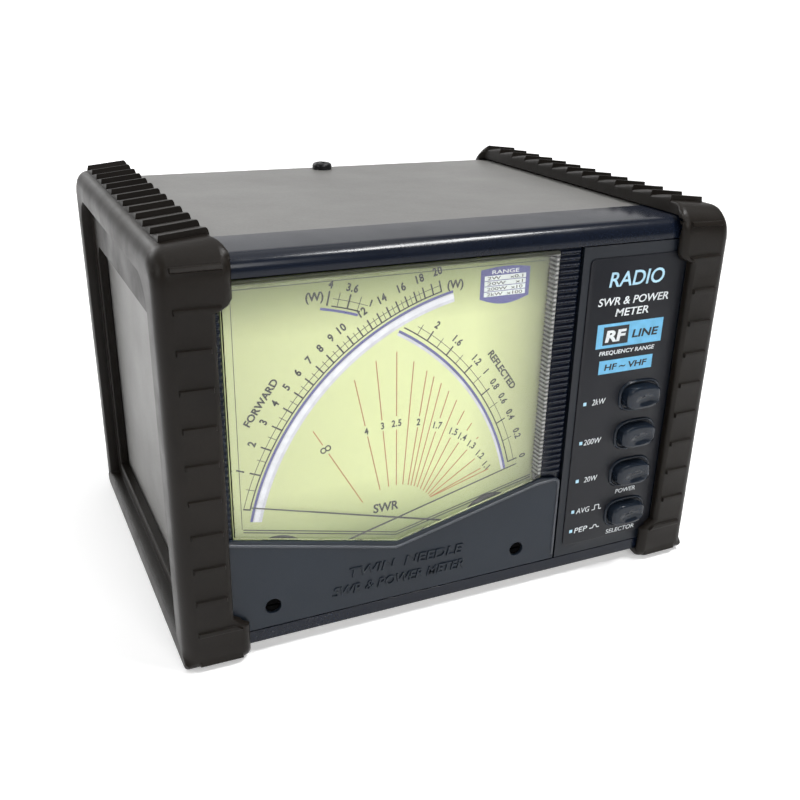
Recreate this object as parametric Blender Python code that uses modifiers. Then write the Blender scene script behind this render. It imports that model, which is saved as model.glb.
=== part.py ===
"""A bench cross-needle standing-wave and power meter, built as an assembly of separate pieces.

Frame: metres, +Z up, +X to the right seen from the front, the front faces -Y.
The origin is the centre of the footprint, on the surface that the end bumpers stand on.
"""
import math

import bmesh
import bpy
from mathutils import Matrix, Vector

MM = 0.001
GAP = 0.3 * MM                      # air left between two pieces that touch

# ---- overall size -------------------------------------------------------------------------
WIDTH = 172.0 * MM
DEPTH = 130.5 * MM
HEIGHT = 120.0 * MM
HALF_W = WIDTH / 2
FRONT = -DEPTH / 2
BACK = DEPTH / 2

# ---- case ---------------------------------------------------------------------------------
CASE_HALF = 79.4 * MM               # outer side of the steel cover
CASE_TOP = 114.2 * MM
CASE_BOTTOM = 3.3 * MM
COVER_FRONT = -40.1 * MM
COVER_BACK = 60.1 * MM
SHEET = 1.2 * MM                    # steel sheet of cover, tray and rear panel
PANEL_Y = -61.4 * MM                # front plane of the front moulding
BEZEL_TOP = 114.6 * MM
BEZEL_BACK = -40.4 * MM
RECESS_DEPTH = 1.5 * MM             # pocket in the moulding that takes the trim pieces
PANEL_LOW = 7.1 * MM
PANEL_HIGH = 108.9 * MM
TRIM_THICK = 1.2 * MM
REAR_Y = 46.0 * MM                  # inner face of the recessed rear panel

# ---- end bumpers --------------------------------------------------------------------------
BUMPER_IN = 69.5 * MM               # inner edge of the top bar
BAR_IN = 71.8 * MM                  # inner edge of the front and rear bars
TAB_IN = 67.3 * MM                  # inner edge of the corner tabs
TAB_TOP_Z = 104.7 * MM
TAB_LOW_Z = 11.5 * MM
TOOTH_COUNT = 13
TOOTH_PITCH = 9.17 * MM
TOOTH_FIRST = 56.8 * MM
TOOTH_DROP = 1.6 * MM
RIB_COUNT = 12
RIB_PITCH = 10.1 * MM
RIB_FIRST = 113.0 * MM
RIB_HEIGHT = 1.4 * MM
RIB_PROUD = 0.5 * MM
RIB_IN = 73.2 * MM
RIB_OUT = 82.1 * MM

# ---- meter --------------------------------------------------------------------------------
LENS_LEFT = -69.8 * MM
LENS_RIGHT = 26.0 * MM
LENS_TOP = 108.4 * MM
LENS_SHOULDER = 38.5 * MM           # where the side walls end and the vee begins
LENS_VEE = (-22.0 * MM, 27.1 * MM)
LENS_FRONT = -62.3 * MM
LENS_WALL = 1.6 * MM
LENS_BACK = -58.1 * MM
LENS_BACK_LOW = -60.3 * MM          # the vee walls stop short, to let the pointers pass
DIAL_Y = -57.8 * MM
DIAL_THICK = 0.6 * MM
HOUSING_FRONT = -56.9 * MM
HOUSING_BACK = -34.0 * MM
METER_LOW = 10.0 * MM               # lower edge of the meter's opening in the moulding
PIVOT_Z = 24.3 * MM
FORWARD_PIVOT_X = 10.7 * MM
REFLECTED_PIVOT_X = -57.6 * MM
FORWARD_REST = math.radians(15.5)   # rest angle above the horizontal, pointing left
REFLECTED_REST = math.radians(14.3)
POINTER_LENGTH = 78.0 * MM
POINTER_THICK = 0.3 * MM
FORWARD_POINTER_Y = -58.7 * MM
REFLECTED_POINTER_Y = -59.7 * MM
ZERO_SCREWS = {"forward": (19.8 * MM, 14.0 * MM), "reflected": (-59.8 * MM, 14.0 * MM)}
ZERO_RADIUS = 2.05 * MM

# ---- push buttons -------------------------------------------------------------------------
BUTTON_X = 60.1 * MM
BUTTON_Z = {"range_2kw": 60.6 * MM, "range_200w": 47.4 * MM,
            "range_20w": 34.1 * MM, "mode": 19.5 * MM}
CAP_SIZE = (12.8 * MM, 7.6 * MM)
COLLAR_SIZE = (14.9 * MM, 9.8 * MM)
CAP_FRONT = -65.2 * MM
CAP_BACK = -57.5 * MM

# ---- rear connectors and coupler ----------------------------------------------------------
SOCKETS = {"transmitter": -14.0 * MM, "antenna": 26.0 * MM}
SOCKET_Z = 30.0 * MM
JACK = (-60.0 * MM, 18.0 * MM)
COUPLER_LOW = (-34.0 * MM, 16.0 * MM, 4.9 * MM)
COUPLER_HIGH = (46.0 * MM, 45.6 * MM, 46.0 * MM)

for old in list(bpy.data.objects):
    bpy.data.objects.remove(old, do_unlink=True)


def new_collection(name):
    group = bpy.data.collections.new(name)
    bpy.context.scene.collection.children.link(group)
    return group


PARTS = new_collection("swr_meter")
CUTTERS = new_collection("cutters")


def finish(name, rgb, roughness, metallic=0.0):
    """One Principled material: colour, roughness and metallic value."""
    made = bpy.data.materials.new(name)
    made.use_nodes = True
    shader = made.node_tree.nodes["Principled BSDF"]
    shader.inputs["Base Color"].default_value = (*rgb, 1.0)
    shader.inputs["Roughness"].default_value = roughness
    shader.inputs["Metallic"].default_value = metallic
    return made


RUBBER = finish("bumper_rubber", (0.035, 0.029, 0.024), 0.6)
GREY_PAINT = finish("grey_paint", (0.18, 0.18, 0.175), 0.55)
STEEL = finish("plated_steel", (0.6, 0.6, 0.58), 0.35, 1.0)
NAVY = finish("navy_moulding", (0.012, 0.017, 0.032), 0.3)
NAVY_MATT = finish("navy_cover", (0.02, 0.027, 0.04), 0.5)
CLEAR = finish("clear_acrylic", (0.85, 0.9, 0.8), 0.05)
DIAL = finish("dial_paint", (0.68, 0.75, 0.42), 0.6)
POINTER = finish("pointer_black", (0.02, 0.02, 0.02), 0.5)
BUTTON = finish("button_plastic", (0.015, 0.02, 0.03), 0.25)
BLACK = finish("black_plastic", (0.03, 0.03, 0.03), 0.5)
BOARD = finish("circuit_board", (0.05, 0.22, 0.09), 0.45)
COPPER = finish("copper_coil", (0.7, 0.35, 0.18), 0.3, 1.0)
SILVER = finish("silver_contact", (0.85, 0.84, 0.8), 0.2, 1.0)
NICKEL = finish("nickel_plate", (0.7, 0.69, 0.66), 0.25, 1.0)
TEFLON = finish("white_insulator", (0.85, 0.84, 0.8), 0.4)
FERRITE = finish("ferrite", (0.08, 0.08, 0.085), 0.6)
GLASS = finish("lamp_glass", (0.9, 0.9, 0.85), 0.05)
SCREW_BLACK = finish("black_screw", (0.02, 0.02, 0.02), 0.35, 1.0)


def place(name, bm, origin, paint, group=PARTS):
    """Turn a bmesh into a named object whose origin is at the given point."""
    mesh = bpy.data.meshes.new(name)
    bm.to_mesh(mesh)
    bm.free()
    piece = bpy.data.objects.new(name, mesh)
    piece.location = origin
    group.objects.link(piece)
    if paint:
        mesh.materials.append(paint)
    return piece


def box(name, low, high, paint=None, group=PARTS):
    """A block between two corners, as a cube primitive scaled to size."""
    low, high = Vector(low), Vector(high)
    bm = bmesh.new()
    bmesh.ops.create_cube(bm, size=1.0)
    bmesh.ops.scale(bm, vec=high - low, verts=bm.verts)
    return place(name, bm, (low + high) / 2, paint, group)


def rod(name, centre, radius, length, axis, paint=None, group=PARTS, sides=32):
    """A cylinder about a centre, along the X, Y or Z axis."""
    turn = {"X": Matrix.Rotation(math.pi / 2, 3, "Y"),
            "Y": Matrix.Rotation(math.pi / 2, 3, "X"),
            "Z": Matrix.Identity(3)}[axis]
    bm = bmesh.new()
    bmesh.ops.create_cone(bm, cap_ends=True, segments=sides, radius1=radius,
                          radius2=radius, depth=length)
    bmesh.ops.rotate(bm, cent=(0, 0, 0), matrix=turn, verts=bm.verts)
    piece = place(name, bm, centre, paint, group)
    smooth(piece)
    return piece


def smooth(piece, angle=35):
    piece.data.shade_smooth()
    piece.data.set_sharp_from_angle(angle=math.radians(angle))


def outline_piece(name, outlines, middle, thickness, facing, paint=None, group=PARTS):
    """A flat plate: closed outlines filled as a 2D curve, extruded half its thickness each way.

    facing "Y" reads the outline as (x, z) and "X" reads it as (y, z); middle is the plate's
    mid plane on that axis. The second and later outlines are holes.
    """
    curve = bpy.data.curves.new(name, "CURVE")
    curve.dimensions = "2D"
    curve.fill_mode = "BOTH"
    curve.extrude = thickness / 2
    for points in outlines:
        spline = curve.splines.new("POLY")
        spline.points.add(len(points) - 1)
        for point, (across, up) in zip(spline.points, points):
            point.co = (across, up, 0.0, 1.0)
        spline.use_cyclic_u = True
    drawn = bpy.data.objects.new(name + "_outline", curve)
    CUTTERS.objects.link(drawn)
    if facing == "Y":
        drawn.rotation_euler = (math.pi / 2, 0.0, 0.0)
        drawn.location = (0.0, middle, 0.0)
    else:
        drawn.rotation_euler = (math.pi / 2, 0.0, math.pi / 2)
        drawn.location = (middle, 0.0, 0.0)
    bpy.context.view_layer.update()
    evaluated = drawn.evaluated_get(bpy.context.evaluated_depsgraph_get())
    mesh = bpy.data.meshes.new_from_object(evaluated)
    bm = bmesh.new()
    bm.from_mesh(mesh)
    bmesh.ops.remove_doubles(bm, verts=bm.verts, dist=0.00001)
    bmesh.ops.recalc_face_normals(bm, faces=bm.faces)
    bm.to_mesh(mesh)
    bm.free()
    mesh.materials.clear()
    if paint:
        mesh.materials.append(paint)
    piece = bpy.data.objects.new(name, mesh)
    piece.matrix_world = drawn.matrix_world.copy()
    group.objects.link(piece)
    bpy.data.objects.remove(drawn, do_unlink=True)
    return piece


def turned(name, profile, centre, paint, sides=32):
    """A turned piece about the Y axis: (radius, y) points, both ends on the axis or closed.

    A Screw modifier turns the profile, which is first made to run with the solid on its right.
    """
    area = sum(a[0] * b[1] - b[0] * a[1] for a, b in zip(profile, profile[1:] + profile[:1]))
    if area > 0:
        profile = profile[::-1]
    bm = bmesh.new()
    points = [bm.verts.new((radius, along, 0.0)) for radius, along in profile]
    for here, there in zip(points, points[1:]):
        bm.edges.new((here, there))
    if profile[0][0] > 0.0:
        bm.edges.new((points[-1], points[0]))
    piece = place(name, bm, centre, paint)
    screw = piece.modifiers.new("turn", "SCREW")
    screw.axis = "Y"
    screw.steps = sides
    screw.render_steps = sides
    screw.use_merge_vertices = True
    screw.merge_threshold = 0.00001
    screw.use_smooth_shade = True
    return piece


def combine(target, other, operation):
    """Cut, join or intersect with another solid, which goes into the cutters' collection."""
    step = target.modifiers.new(operation.lower(), "BOOLEAN")
    step.operation = operation
    step.solver = "EXACT"
    step.object = other
    other.hide_render = True
    other.display_type = "WIRE"


def cut(target, *tools):
    for tool in tools:
        combine(target, tool, "DIFFERENCE")


def join(target, *extras):
    for extra in extras:
        combine(target, extra, "UNION")


def soften(piece, width, segments=2, angle=40):
    step = piece.modifiers.new("soften", "BEVEL")
    step.width = width
    step.segments = segments
    step.limit_method = "ANGLE"
    step.angle_limit = math.radians(angle)


def rounded_rectangle(low, high, radii, steps=4):
    """Corner arcs of a rectangle, radii given from the low-low corner anticlockwise."""
    (left, down), (right, up) = low, high
    corners = ((left, down, 180), (right, down, 270), (right, up, 0), (left, up, 90))
    points = []
    for (x, z, start), radius in zip(corners, radii):
        centre_x = x + radius if x == left else x - radius
        centre_z = z + radius if z == down else z - radius
        for step in range(steps + 1):
            angle = math.radians(start + 90 * step / steps)
            points.append((centre_x + radius * math.cos(angle), centre_z + radius * math.sin(angle)))
    return points


def oval(centre, size, power=2.8, count=28):
    """A superellipse: |x/a|^power + |z/b|^power = 1."""
    points = []
    for step in range(count):
        angle = 2 * math.pi * step / count
        cosine, sine = math.cos(angle), math.sin(angle)
        points.append((centre[0] + size[0] / 2 * math.copysign(abs(cosine) ** (2 / power), cosine),
                       centre[1] + size[1] / 2 * math.copysign(abs(sine) ** (2 / power), sine)))
    return points


def lens_outline(margin):
    """The meter window: a rectangle with a vee bottom, grown by a margin."""
    return [(LENS_VEE[0], LENS_VEE[1] - margin),
            (LENS_RIGHT + margin, LENS_SHOULDER - margin),
            (LENS_RIGHT + margin, LENS_TOP + margin),
            (LENS_LEFT - margin, LENS_TOP + margin),
            (LENS_LEFT - margin, LENS_SHOULDER - margin)]


# ---- end bumpers --------------------------------------------------------------------------
def bumper(name, side):
    """A rubber end frame: rounded bars, a stepped window, top teeth, front ribs and tabs."""
    def span(inner, outer):
        return sorted((side * inner, side * outer))

    root = HEIGHT - TOOTH_DROP
    face = FRONT + RIB_PROUD
    outline = rounded_rectangle((face, 0.0), (BACK, root), [4 * MM, 4 * MM, 8 * MM, 8 * MM])
    body = outline_piece(name, [outline], side * (BUMPER_IN + HALF_W) / 2, HALF_W - BUMPER_IN,
                         "X", RUBBER)
    edge = HALF_W - (BUMPER_IN + HALF_W) / 2
    bm = bmesh.new()
    bm.from_mesh(body.data)
    bmesh.ops.dissolve_limit(bm, angle_limit=math.radians(1), verts=bm.verts, edges=bm.edges)
    rim = [e for e in bm.edges if all(abs(v.co.z - side * edge) < 0.00001 for v in e.verts)]
    bmesh.ops.bevel(bm, geom=rim, offset=3.5 * MM, segments=3, profile=0.5, affect="EDGES")
    bm.to_mesh(body.data)
    bm.free()

    # the case pocket, and the front and rear bars cut back between the tabs
    x0, x1 = span(BUMPER_IN - 5 * MM, CASE_HALF + GAP)
    cut(body, box(name + "_case_pocket", (x0, PANEL_Y - GAP, CASE_BOTTOM - GAP),
                  (x1, COVER_BACK + GAP, BEZEL_TOP + GAP), group=CUTTERS))
    x0, x1 = span(BUMPER_IN - 5 * MM, BAR_IN)
    for label, y0, y1 in (("front", FRONT - 2 * MM, PANEL_Y), ("rear", COVER_BACK, BACK + 2 * MM)):
        cut(body, box(f"{name}_{label}_setback", (x0, y0, TAB_LOW_Z), (x1, y1, TAB_TOP_Z),
                      group=CUTTERS))

    # clearance for the side of the meter window
    x0, x1 = span(BUMPER_IN - 5 * MM, -LENS_LEFT + GAP)
    cut(body, box(name + "_lens_relief", (x0, LENS_FRONT - GAP, TAB_LOW_Z),
                  (x1, PANEL_Y, LENS_TOP + GAP), group=CUTTERS))

    # stepped window: a wide outer opening and a smaller one behind it
    outer = rounded_rectangle((-53 * MM, 7 * MM), (55 * MM, 108.5 * MM),
                              [2 * MM, 2 * MM, 9 * MM, 9 * MM])
    inner = rounded_rectangle((-47 * MM, 12 * MM), (51 * MM, 94 * MM),
                              [2 * MM, 2 * MM, 5 * MM, 5 * MM])
    ledge = 82.5 * MM
    cut(body, outline_piece(name + "_outer_window", [outer], side * (ledge + 5 * MM), 10 * MM,
                            "X", group=CUTTERS))
    cut(body, outline_piece(name + "_inner_window", [inner], side * ledge, 10 * MM,
                            "X", group=CUTTERS))

    # ratchet teeth on top: each rises towards the front and drops there
    start = TOOTH_FIRST + 2.0 * MM
    teeth = [(start, root - MM), (start, root + 0.8 * MM)]
    for index in range(TOOTH_COUNT):
        drop = TOOTH_FIRST - index * TOOTH_PITCH
        teeth += [(drop, HEIGHT), (drop - 0.1 * MM, root + 0.1 * MM)]
    teeth.append((TOOTH_FIRST - (TOOTH_COUNT - 1) * TOOTH_PITCH - 0.2 * MM, root - MM))
    width = RIB_OUT - BUMPER_IN - 2 * MM
    comb = outline_piece(name + "_teeth", [teeth[::-1]], side * (BUMPER_IN + 0.5 * MM + width / 2),
                         width, "X", group=CUTTERS)
    join(body, comb)

    # thin ribs across the front bar, and the tabs that hook over the case corners
    x0, x1 = span(RIB_IN, RIB_OUT - MM)
    for index in range(RIB_COUNT):
        middle = RIB_FIRST - index * RIB_PITCH
        if middle < HEIGHT - 9 * MM and middle > 4 * MM:
            join(body, box(f"{name}_rib_{index + 1}", (x0, FRONT, middle - RIB_HEIGHT / 2),
                           (x1, face + 0.5 * MM, middle + RIB_HEIGHT / 2), group=CUTTERS))
    x0, x1 = span(TAB_IN, BUMPER_IN + MM)
    for label, y0, y1 in (("front", face + 0.6 * MM, LENS_FRONT - GAP),
                          ("rear", COVER_BACK + GAP, BACK - 0.6 * MM)):
        join(body, box(f"{name}_{label}_top_tab", (x0, y0, TAB_TOP_Z),
                       (x1, y1, BEZEL_TOP + MM), group=CUTTERS))
        join(body, box(f"{name}_{label}_low_tab", (x0, y0, 1.2 * MM), (x1, y1, TAB_LOW_Z),
                       group=CUTTERS))


bumper("bumper_left", -1)
bumper("bumper_right", 1)


# ---- sheet-metal case ---------------------------------------------------------------------
def channel(half, low, high, sheet):
    """An upside-down U seen from the front."""
    return [(-half, low), (-half, high), (half, high), (half, low), (half - sheet, low),
            (half - sheet, high - sheet), (-half + sheet, high - sheet), (-half + sheet, low)]


cover = outline_piece("case_cover", [channel(CASE_HALF, 5.0 * MM, CASE_TOP, SHEET)],
                      (COVER_FRONT + COVER_BACK) / 2, COVER_BACK - COVER_FRONT, "Y", GREY_PAINT)
cut(cover, rod("cover_screw_hole", (0, 56 * MM, CASE_TOP), 1.9 * MM, 6 * MM, "Z", group=CUTTERS))

TRAY_HALF = CASE_HALF - SHEET - GAP
tray_profile = [(x, CASE_BOTTOM + 16 * MM - (z - CASE_BOTTOM))
                for x, z in channel(TRAY_HALF, CASE_BOTTOM, CASE_BOTTOM + 16 * MM, SHEET)]
tray = outline_piece("chassis_tray", [tray_profile], 1.3 * MM, 117.6 * MM, "Y", STEEL)
POSTS = [(-72 * MM, -24 * MM), (-40 * MM, -24 * MM), (-72 * MM, 38 * MM), (-40 * MM, 38 * MM)]
BOARD_Z = 9.0 * MM
for number, (post_x, post_y) in enumerate(POSTS, start=1):
    join(tray, rod(f"board_post_{number}", (post_x, post_y, (CASE_BOTTOM + BOARD_Z) / 2), 2.5 * MM,
                   BOARD_Z - CASE_BOTTOM - GAP, "Z", group=CUTTERS, sides=16))

rear = box("rear_panel", (-76.5 * MM, REAR_Y, 4.9 * MM), (76.5 * MM, REAR_Y + SHEET, 112.6 * MM),
           GREY_PAINT)
join(rear, box("rear_top_flange", (-60 * MM, REAR_Y + SHEET / 2, 112.6 * MM - SHEET),
               (60 * MM, 59.6 * MM, 112.6 * MM), group=CUTTERS))
cut(rear, rod("flange_hole", (0, 56 * MM, 112 * MM), 1.9 * MM, 6 * MM, "Z", group=CUTTERS))
for label, socket_x in SOCKETS.items():
    cut(rear, rod(f"{label}_panel_hole", (socket_x, REAR_Y, SOCKET_Z), 7.9 * MM, 8 * MM, "Y",
                  group=CUTTERS))
cut(rear, rod("jack_panel_hole", (JACK[0], REAR_Y, JACK[1]), 4.3 * MM, 8 * MM, "Y",
              group=CUTTERS))

for number, (screw_x, screw_z) in enumerate(((-70, 10), (70, 10), (-70, 106), (70, 106)), start=1):
    spot = (screw_x * MM, 0.0, screw_z * MM)
    cut(rear, rod(f"rear_screw_hole_{number}", (spot[0], REAR_Y, spot[2]), 1.8 * MM, 8 * MM, "Y",
                  group=CUTTERS, sides=16))
    seat = REAR_Y + SHEET + GAP
    turned(f"rear_screw_{number}",
           [(0, seat - 6 * MM), (1.4 * MM, seat - 6 * MM), (1.4 * MM, seat), (3 * MM, seat),
            (2.6 * MM, seat + 1.5 * MM), (1.6 * MM, seat + 2 * MM), (0, seat + 2 * MM)],
           spot, SCREW_BLACK, sides=20)

head = rod("cover_screw", (0, 56 * MM, CASE_TOP + GAP + 1.1 * MM), 3.5 * MM, 2.2 * MM, "Z",
           SCREW_BLACK)
soften(head, 0.8 * MM)
join(head, rod("cover_screw_shank", (0, 56 * MM, CASE_TOP - 2.6 * MM), 1.5 * MM, 6.4 * MM, "Z",
               group=CUTTERS, sides=16))


# ---- front moulding and its trim ----------------------------------------------------------
bezel = box("front_bezel", (-CASE_HALF, PANEL_Y, CASE_BOTTOM), (CASE_HALF, BEZEL_BACK, BEZEL_TOP),
            NAVY)
bm = bmesh.new()
bm.from_mesh(bezel.data)
top_edge = [e for e in bm.edges if all(v.co.y < 0 and v.co.z > 0 for v in e.verts)]
bmesh.ops.bevel(bm, geom=top_edge, offset=4.5 * MM, segments=8, profile=0.5, affect="EDGES")
bm.to_mesh(bezel.data)
bm.free()
INNER_Y = PANEL_Y + 3.5 * MM        # back of the moulding's front wall
cut(bezel, box("bezel_hollow", (-CASE_HALF + SHEET, INNER_Y, 6.0 * MM),
               (CASE_HALF - SHEET, BEZEL_BACK + 9 * MM, BEZEL_TOP - 2 * MM), group=CUTTERS))
cut(bezel, box("bezel_floor_cut", (-CASE_HALF - MM, INNER_Y, 0.0),
               (CASE_HALF + MM, BEZEL_BACK + 9 * MM, 8.0 * MM), group=CUTTERS))
cut(bezel, box("trim_pocket", (-75.5 * MM, PANEL_Y - 5 * MM, PANEL_LOW),
               (72 * MM, PANEL_Y + RECESS_DEPTH, PANEL_HIGH), group=CUTTERS))
cut(bezel, box("meter_opening", (LENS_LEFT - GAP, PANEL_Y - 6 * MM, METER_LOW),
               (LENS_RIGHT + GAP, PANEL_Y + 6 * MM, LENS_TOP + GAP), group=CUTTERS))
for label, button_z in BUTTON_Z.items():
    cut(bezel, outline_piece(f"{label}_opening",
                             [oval((BUTTON_X, button_z), (14 * MM, 8.9 * MM))],
                             PANEL_Y, 12 * MM, "Y", group=CUTTERS))

TRIM_MID = PANEL_Y + TRIM_THICK / 2
for label, x0, x1 in (("left", -75.2, -70.3), ("right", 26.5, 33.6)):
    box(f"trim_strip_{label}", (x0 * MM, PANEL_Y, 38.2 * MM),
        (x1 * MM, PANEL_Y + TRIM_THICK, 108.6 * MM), NAVY)

cover_outline = [(-75.2, 7.4), (34.0, 7.4), (34.0, 35.4), (33.0, 36.4), (26.8, 37.4), (-22.0, 26.2),
                 (-70.6, 37.4), (-75.2, 36.4)]
lower = outline_piece("meter_lower_cover", [[(x * MM, z * MM) for x, z in cover_outline]],
                      TRIM_MID, TRIM_THICK, "Y", NAVY_MATT)
for label, (screw_x, screw_z) in ZERO_SCREWS.items():
    cut(lower, rod(f"{label}_zero_hole", (screw_x, PANEL_Y, screw_z), 2.35 * MM, 8 * MM, "Y",
                   group=CUTTERS, sides=24))
    adjuster = rod(f"zero_adjuster_{label}", (screw_x, PANEL_Y + 2.4 * MM, screw_z), ZERO_RADIUS,
                   3.2 * MM, "Y", BLACK, sides=24)
    cut(adjuster, box(f"{label}_zero_slot", (screw_x - 3 * MM, PANEL_Y - MM, screw_z - 0.3 * MM),
                      (screw_x + 3 * MM, PANEL_Y + 1.6 * MM, screw_z + 0.3 * MM), group=CUTTERS))

control = box("control_panel", (34.6 * MM, PANEL_Y, 7.4 * MM),
              (71.7 * MM, PANEL_Y + TRIM_THICK, 108.6 * MM), NAVY_MATT)


# ---- push buttons: cap, plunger and switch ------------------------------------------------
for label, button_z in BUTTON_Z.items():
    centre = (BUTTON_X, button_z)
    join(control, outline_piece(f"{label}_collar", [oval(centre, COLLAR_SIZE)],
                                PANEL_Y - 0.1 * MM, 1.2 * MM, "Y", group=CUTTERS))
    cut(control, outline_piece(f"{label}_window", [oval(centre, (13.6 * MM, 8.4 * MM))],
                               PANEL_Y, 8 * MM, "Y", group=CUTTERS))
    cap = outline_piece(f"{label}_button", [oval(centre, CAP_SIZE)], (CAP_FRONT + CAP_BACK) / 2,
                        CAP_BACK - CAP_FRONT, "Y", BUTTON)
    soften(cap, 0.7 * MM, segments=2, angle=60)
    box(f"{label}_plunger", (BUTTON_X - 1.5 * MM, CAP_BACK + GAP, button_z - 1.5 * MM),
        (BUTTON_X + 1.5 * MM, -46 * MM, button_z + 1.5 * MM), TEFLON)
    switch = box(f"{label}_switch", (BUTTON_X - 4.5 * MM, -52 * MM, button_z - 4 * MM),
                 (BUTTON_X + 4.5 * MM, -38 * MM, button_z + 4 * MM), BLACK)
    cut(switch, box(f"{label}_switch_bore", (BUTTON_X - 1.8 * MM, -54 * MM, button_z - 1.8 * MM),
                    (BUTTON_X + 1.8 * MM, -43 * MM, button_z + 1.8 * MM), group=CUTTERS))

box("switch_board", (50 * MM, -37.7 * MM, 9 * MM), (70 * MM, -36.1 * MM, 72 * MM), BOARD)


# ---- meter: lens, dial, housing, two movements --------------------------------------------
lens = outline_piece("meter_lens", [lens_outline(0)], (LENS_FRONT + LENS_BACK) / 2,
                     LENS_BACK - LENS_FRONT, "Y", CLEAR)
cut(lens, outline_piece("lens_hollow", [lens_outline(-LENS_WALL)],
                        LENS_FRONT + LENS_WALL + 10 * MM, 20 * MM, "Y", group=CUTTERS))
cut(lens, box("vee_wall_cut", (-90 * MM, LENS_BACK_LOW, 20 * MM), (40 * MM, -50 * MM, 44 * MM),
              group=CUTTERS))

dial_outline = [(-68.3, 38.6), (-22.0, 27.4), (24.6, 38.2), (24.6, 107.6), (-68.3, 107.6)]
outline_piece("dial_plate", [[(x * MM, z * MM) for x, z in dial_outline]],
              DIAL_Y + DIAL_THICK / 2, DIAL_THICK, "Y", DIAL)

housing = box("meter_housing", (-69.3 * MM, HOUSING_FRONT, 9.5 * MM),
              (25.6 * MM, HOUSING_BACK, 108.2 * MM), BLACK)
cut(housing, box("housing_hollow", (-67.5 * MM, HOUSING_FRONT - 5 * MM, 11.3 * MM),
                 (23.8 * MM, HOUSING_BACK - 1.8 * MM, 106.4 * MM), group=CUTTERS))


def pointer(name, pivot_x, plane_y, rest, heading):
    """A tapered pointer with a hub ring and a short balance tail, turned to its rest angle."""
    blade, tip, tail, hub = 1.5 * MM, 0.6 * MM, 6 * MM, 2.2 * MM
    wide = 2.4 * MM
    outline = [(-tail, -wide / 2)]
    for step in range(7):
        angle = math.radians(230 + 80 * step / 6)
        outline.append((hub * math.cos(angle), hub * math.sin(angle)))
    outline += [(hub + MM, -blade / 2), (POINTER_LENGTH, -tip / 2)]
    outline += [(x, -z) for x, z in outline[::-1]]
    direction = rest if heading > 0 else math.pi - rest
    cosine, sine = math.cos(direction), math.sin(direction)

    def turn(points):
        return [(x * cosine - z * sine, x * sine + z * cosine) for x, z in points]

    hole = [(1.1 * MM * math.cos(2 * math.pi * k / 16), 1.1 * MM * math.sin(2 * math.pi * k / 16))
            for k in range(16)]
    blade_piece = outline_piece(name, [turn(outline), turn(hole)], plane_y, POINTER_THICK, "Y",
                                POINTER)
    blade_piece.location.x += pivot_x
    blade_piece.location.z += PIVOT_Z


def movement(label, pivot_x, pointer_y, rest, heading):
    """Pointer, moving coil on its spindle, and the fixed magnet ring with its core."""
    pointer(f"{label}_pointer", pivot_x, pointer_y, rest, heading)
    end = pointer_y / MM - 0.25
    coil = [(0, end), (0.8, end), (0.8, -55.2), (6, -55.2), (6, -46.2), (5.2, -46.2),
            (5.2, -54.2), (0.8, -54.2), (0.8, -42.7), (0, -42.7)]
    turned(f"{label}_coil", [(radius * MM, y * MM) for radius, y in coil],
           (pivot_x, 0, PIVOT_Z), COPPER)
    magnet = [(1.4, -53.6), (4.7, -53.6), (4.7, -45.5), (6.6, -45.5), (6.6, -55.2),
              (9.4, -55.2), (9.4, -43.8), (1.4, -43.8)]
    turned(f"{label}_magnet", [(radius * MM, y * MM) for radius, y in magnet],
           (pivot_x, 0, PIVOT_Z), STEEL)


movement("forward", FORWARD_PIVOT_X, FORWARD_POINTER_Y, FORWARD_REST, -1)
movement("reflected", REFLECTED_PIVOT_X, REFLECTED_POINTER_Y, REFLECTED_REST, 1)

box("lamp_holder", (-30 * MM, -39 * MM, 96 * MM), (-14 * MM, -36.2 * MM, 104 * MM), BLACK)
lamp = rod("dial_lamp", (-22 * MM, -42.6 * MM, 100 * MM), 2.2 * MM, 6.6 * MM, "Y", GLASS, sides=20)
soften(lamp, 0.8 * MM)


# ---- directional coupler, sockets and boards ----------------------------------------------
coupler = box("coupler_box", COUPLER_LOW, COUPLER_HIGH, STEEL)
wall = 1.5 * MM
cut(coupler, box("coupler_hollow", [value + wall for value in COUPLER_LOW],
                 (COUPLER_HIGH[0] - wall, COUPLER_HIGH[1] - wall, COUPLER_HIGH[2] + 9 * MM),
                 group=CUTTERS))
box("coupler_lid", (COUPLER_LOW[0], COUPLER_LOW[1], COUPLER_HIGH[2] + GAP),
    (COUPLER_HIGH[0], COUPLER_HIGH[1], COUPLER_HIGH[2] + GAP + SHEET), STEEL)

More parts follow.
